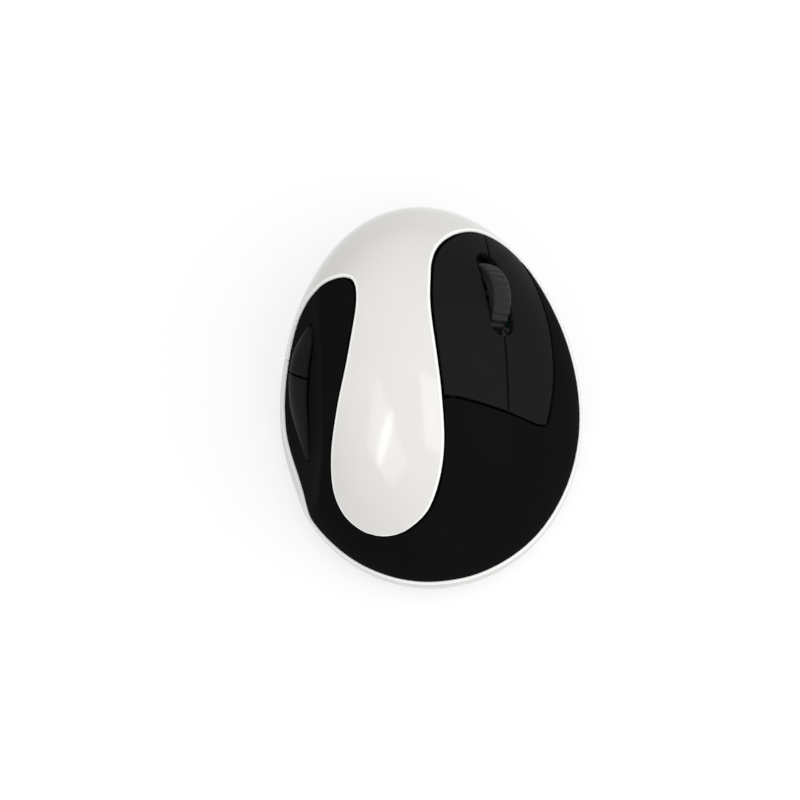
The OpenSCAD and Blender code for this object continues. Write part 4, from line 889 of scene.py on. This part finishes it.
def makeFloor(f):
    material = bpy.data.materials.new("paleFloor")
    material.use_nodes = True
    tree = material.node_tree
    shader = tree.nodes["Principled BSDF"]
    shader.inputs["Roughness"].default_value = f["rough"]
    shader.inputs["Specular IOR Level"].default_value = f["specular"]
    path = addNode(tree, "ShaderNodeLightPath").outputs
    mirrored = mathNode(tree, "MAXIMUM", path["Is Glossy Ray"], path["Is Transmission Ray"])
    seen = mathNode(tree, "MAXIMUM", path["Is Camera Ray"], mirrored)
    tree.links.new(mixNode(tree, seen, linear(*f["bounce"]), linear(*f["pale"])), shader.inputs["Base Color"])
    white = addNode(tree, "ShaderNodeEmission")
    both = addNode(tree, "ShaderNodeMixShader")
    tree.links.new(mathNode(tree, "MULTIPLY", seen, f["shadowLift"]), both.inputs["Fac"])
    tree.links.new(shader.outputs["BSDF"], both.inputs[1])
    tree.links.new(white.outputs["Emission"], both.inputs[2])
    tree.links.new(both.outputs["Shader"], tree.nodes["Material Output"].inputs["Surface"])
    size, low = f["size"], -f["low"] * mm
    corners = [(-size, -size, low), (size, -size, low), (size, size, low), (-size, size, low)]
    mesh = bpy.data.meshes.new("floor")
    mesh.from_pydata(corners, [], [(0, 1, 2, 3)])
    mesh.materials.append(material)
    sheet = bpy.data.objects.new("floor", mesh)
    scene.collection.objects.link(sheet)


makeFloor(floor)

# Soft lights in metres and watts; "along" is the way that the long side of a lamp runs
lamps = [
    {"name": "backCore", "shape": "ELLIPSE", "place": (-0.224, -0.597, 0.86), "aim": (-0.013, -0.025, 0.056),
     "along": (-0.34, -0.4, -0.37), "size": (0.09, 0.56), "power": 0.38},
    {"name": "fingerStrip", "shape": "RECTANGLE", "place": (0.394, -0.375, 1.01), "aim": (0, -0.017, 0.059),
     "along": (-0.1, -0.48, -0.14), "size": (0.2, 0.56), "power": 0.56},
    {"name": "overhead", "shape": "ELLIPSE", "place": (1.0, -0.5, 1.75), "aim": (0, 0, 0.03),
     "along": (0, 1, 0), "size": (2.2, 2.4), "power": 21.0, "mirrored": False},
]


# Directions across and along a light, and back from what it aims at
def facing(light):
    back = (Vector(light["place"]) - Vector(light["aim"])).normalized()
    side = Vector(light["along"]).cross(back).normalized()
    return side, back.cross(side), back


def addLamp(lamp):
    data = bpy.data.lights.new(lamp["name"], "AREA")
    data.shape = lamp["shape"]
    data.size, data.size_y = lamp["size"]
    data.energy = lamp["power"]
    holder = bpy.data.objects.new(lamp["name"], data)
    holder.visible_glossy = lamp.get("mirrored", True)
    turn = Matrix(facing(lamp)).transposed()
    holder.matrix_world = Matrix.Translation(lamp["place"]) @ turn.to_4x4()
    scene.collection.objects.link(holder)


for lamp in lamps:
    addLamp(lamp)

# Kite-shaped soft box behind the mouse, its corners counted from its place across and along
softBox = {"place": (-0.26, -0.66, 0.89), "aim": (-0.013, -0.025, 0.056), "along": (-0.045, -0.62, -0.46),
           "corners": ((0, -0.54), (0.25, 0.1), (0, 0.4), (-0.27, 0.1)), "glow": 1.8}


def addSoftBox(b):
    side, down, _ = facing(b)
    material = bpy.data.materials.new("softBox")
    material.use_nodes = True
    shader = material.node_tree.nodes["Principled BSDF"]
    shader.inputs["Base Color"].default_value = (0, 0, 0, 1)
    shader.inputs["Emission Color"].default_value = (1, 1, 1, 1)
    shader.inputs["Emission Strength"].default_value = b["glow"]
    mesh = bpy.data.meshes.new("softBox")
    mesh.from_pydata([Vector(b["place"]) + side * x + down * y for x, y in b["corners"]], [], [(0, 1, 2, 3)])
    mesh.materials.append(material)
    panel = bpy.data.objects.new("softBox", mesh)
    panel.visible_camera = False
    scene.collection.objects.link(panel)


addSoftBox(softBox)

# Even white light all round
studio = {"colour": (1, 1, 1, 1), "strength": 0.69}


def setStudio(s):
    world = bpy.data.worlds.new("studio")
    world.use_nodes = True
    sky = world.node_tree.nodes["Background"]
    sky.inputs["Color"].default_value = s["colour"]
    sky.inputs["Strength"].default_value = s["strength"]
    scene.world = world


setStudio(studio)
print("stage lit")
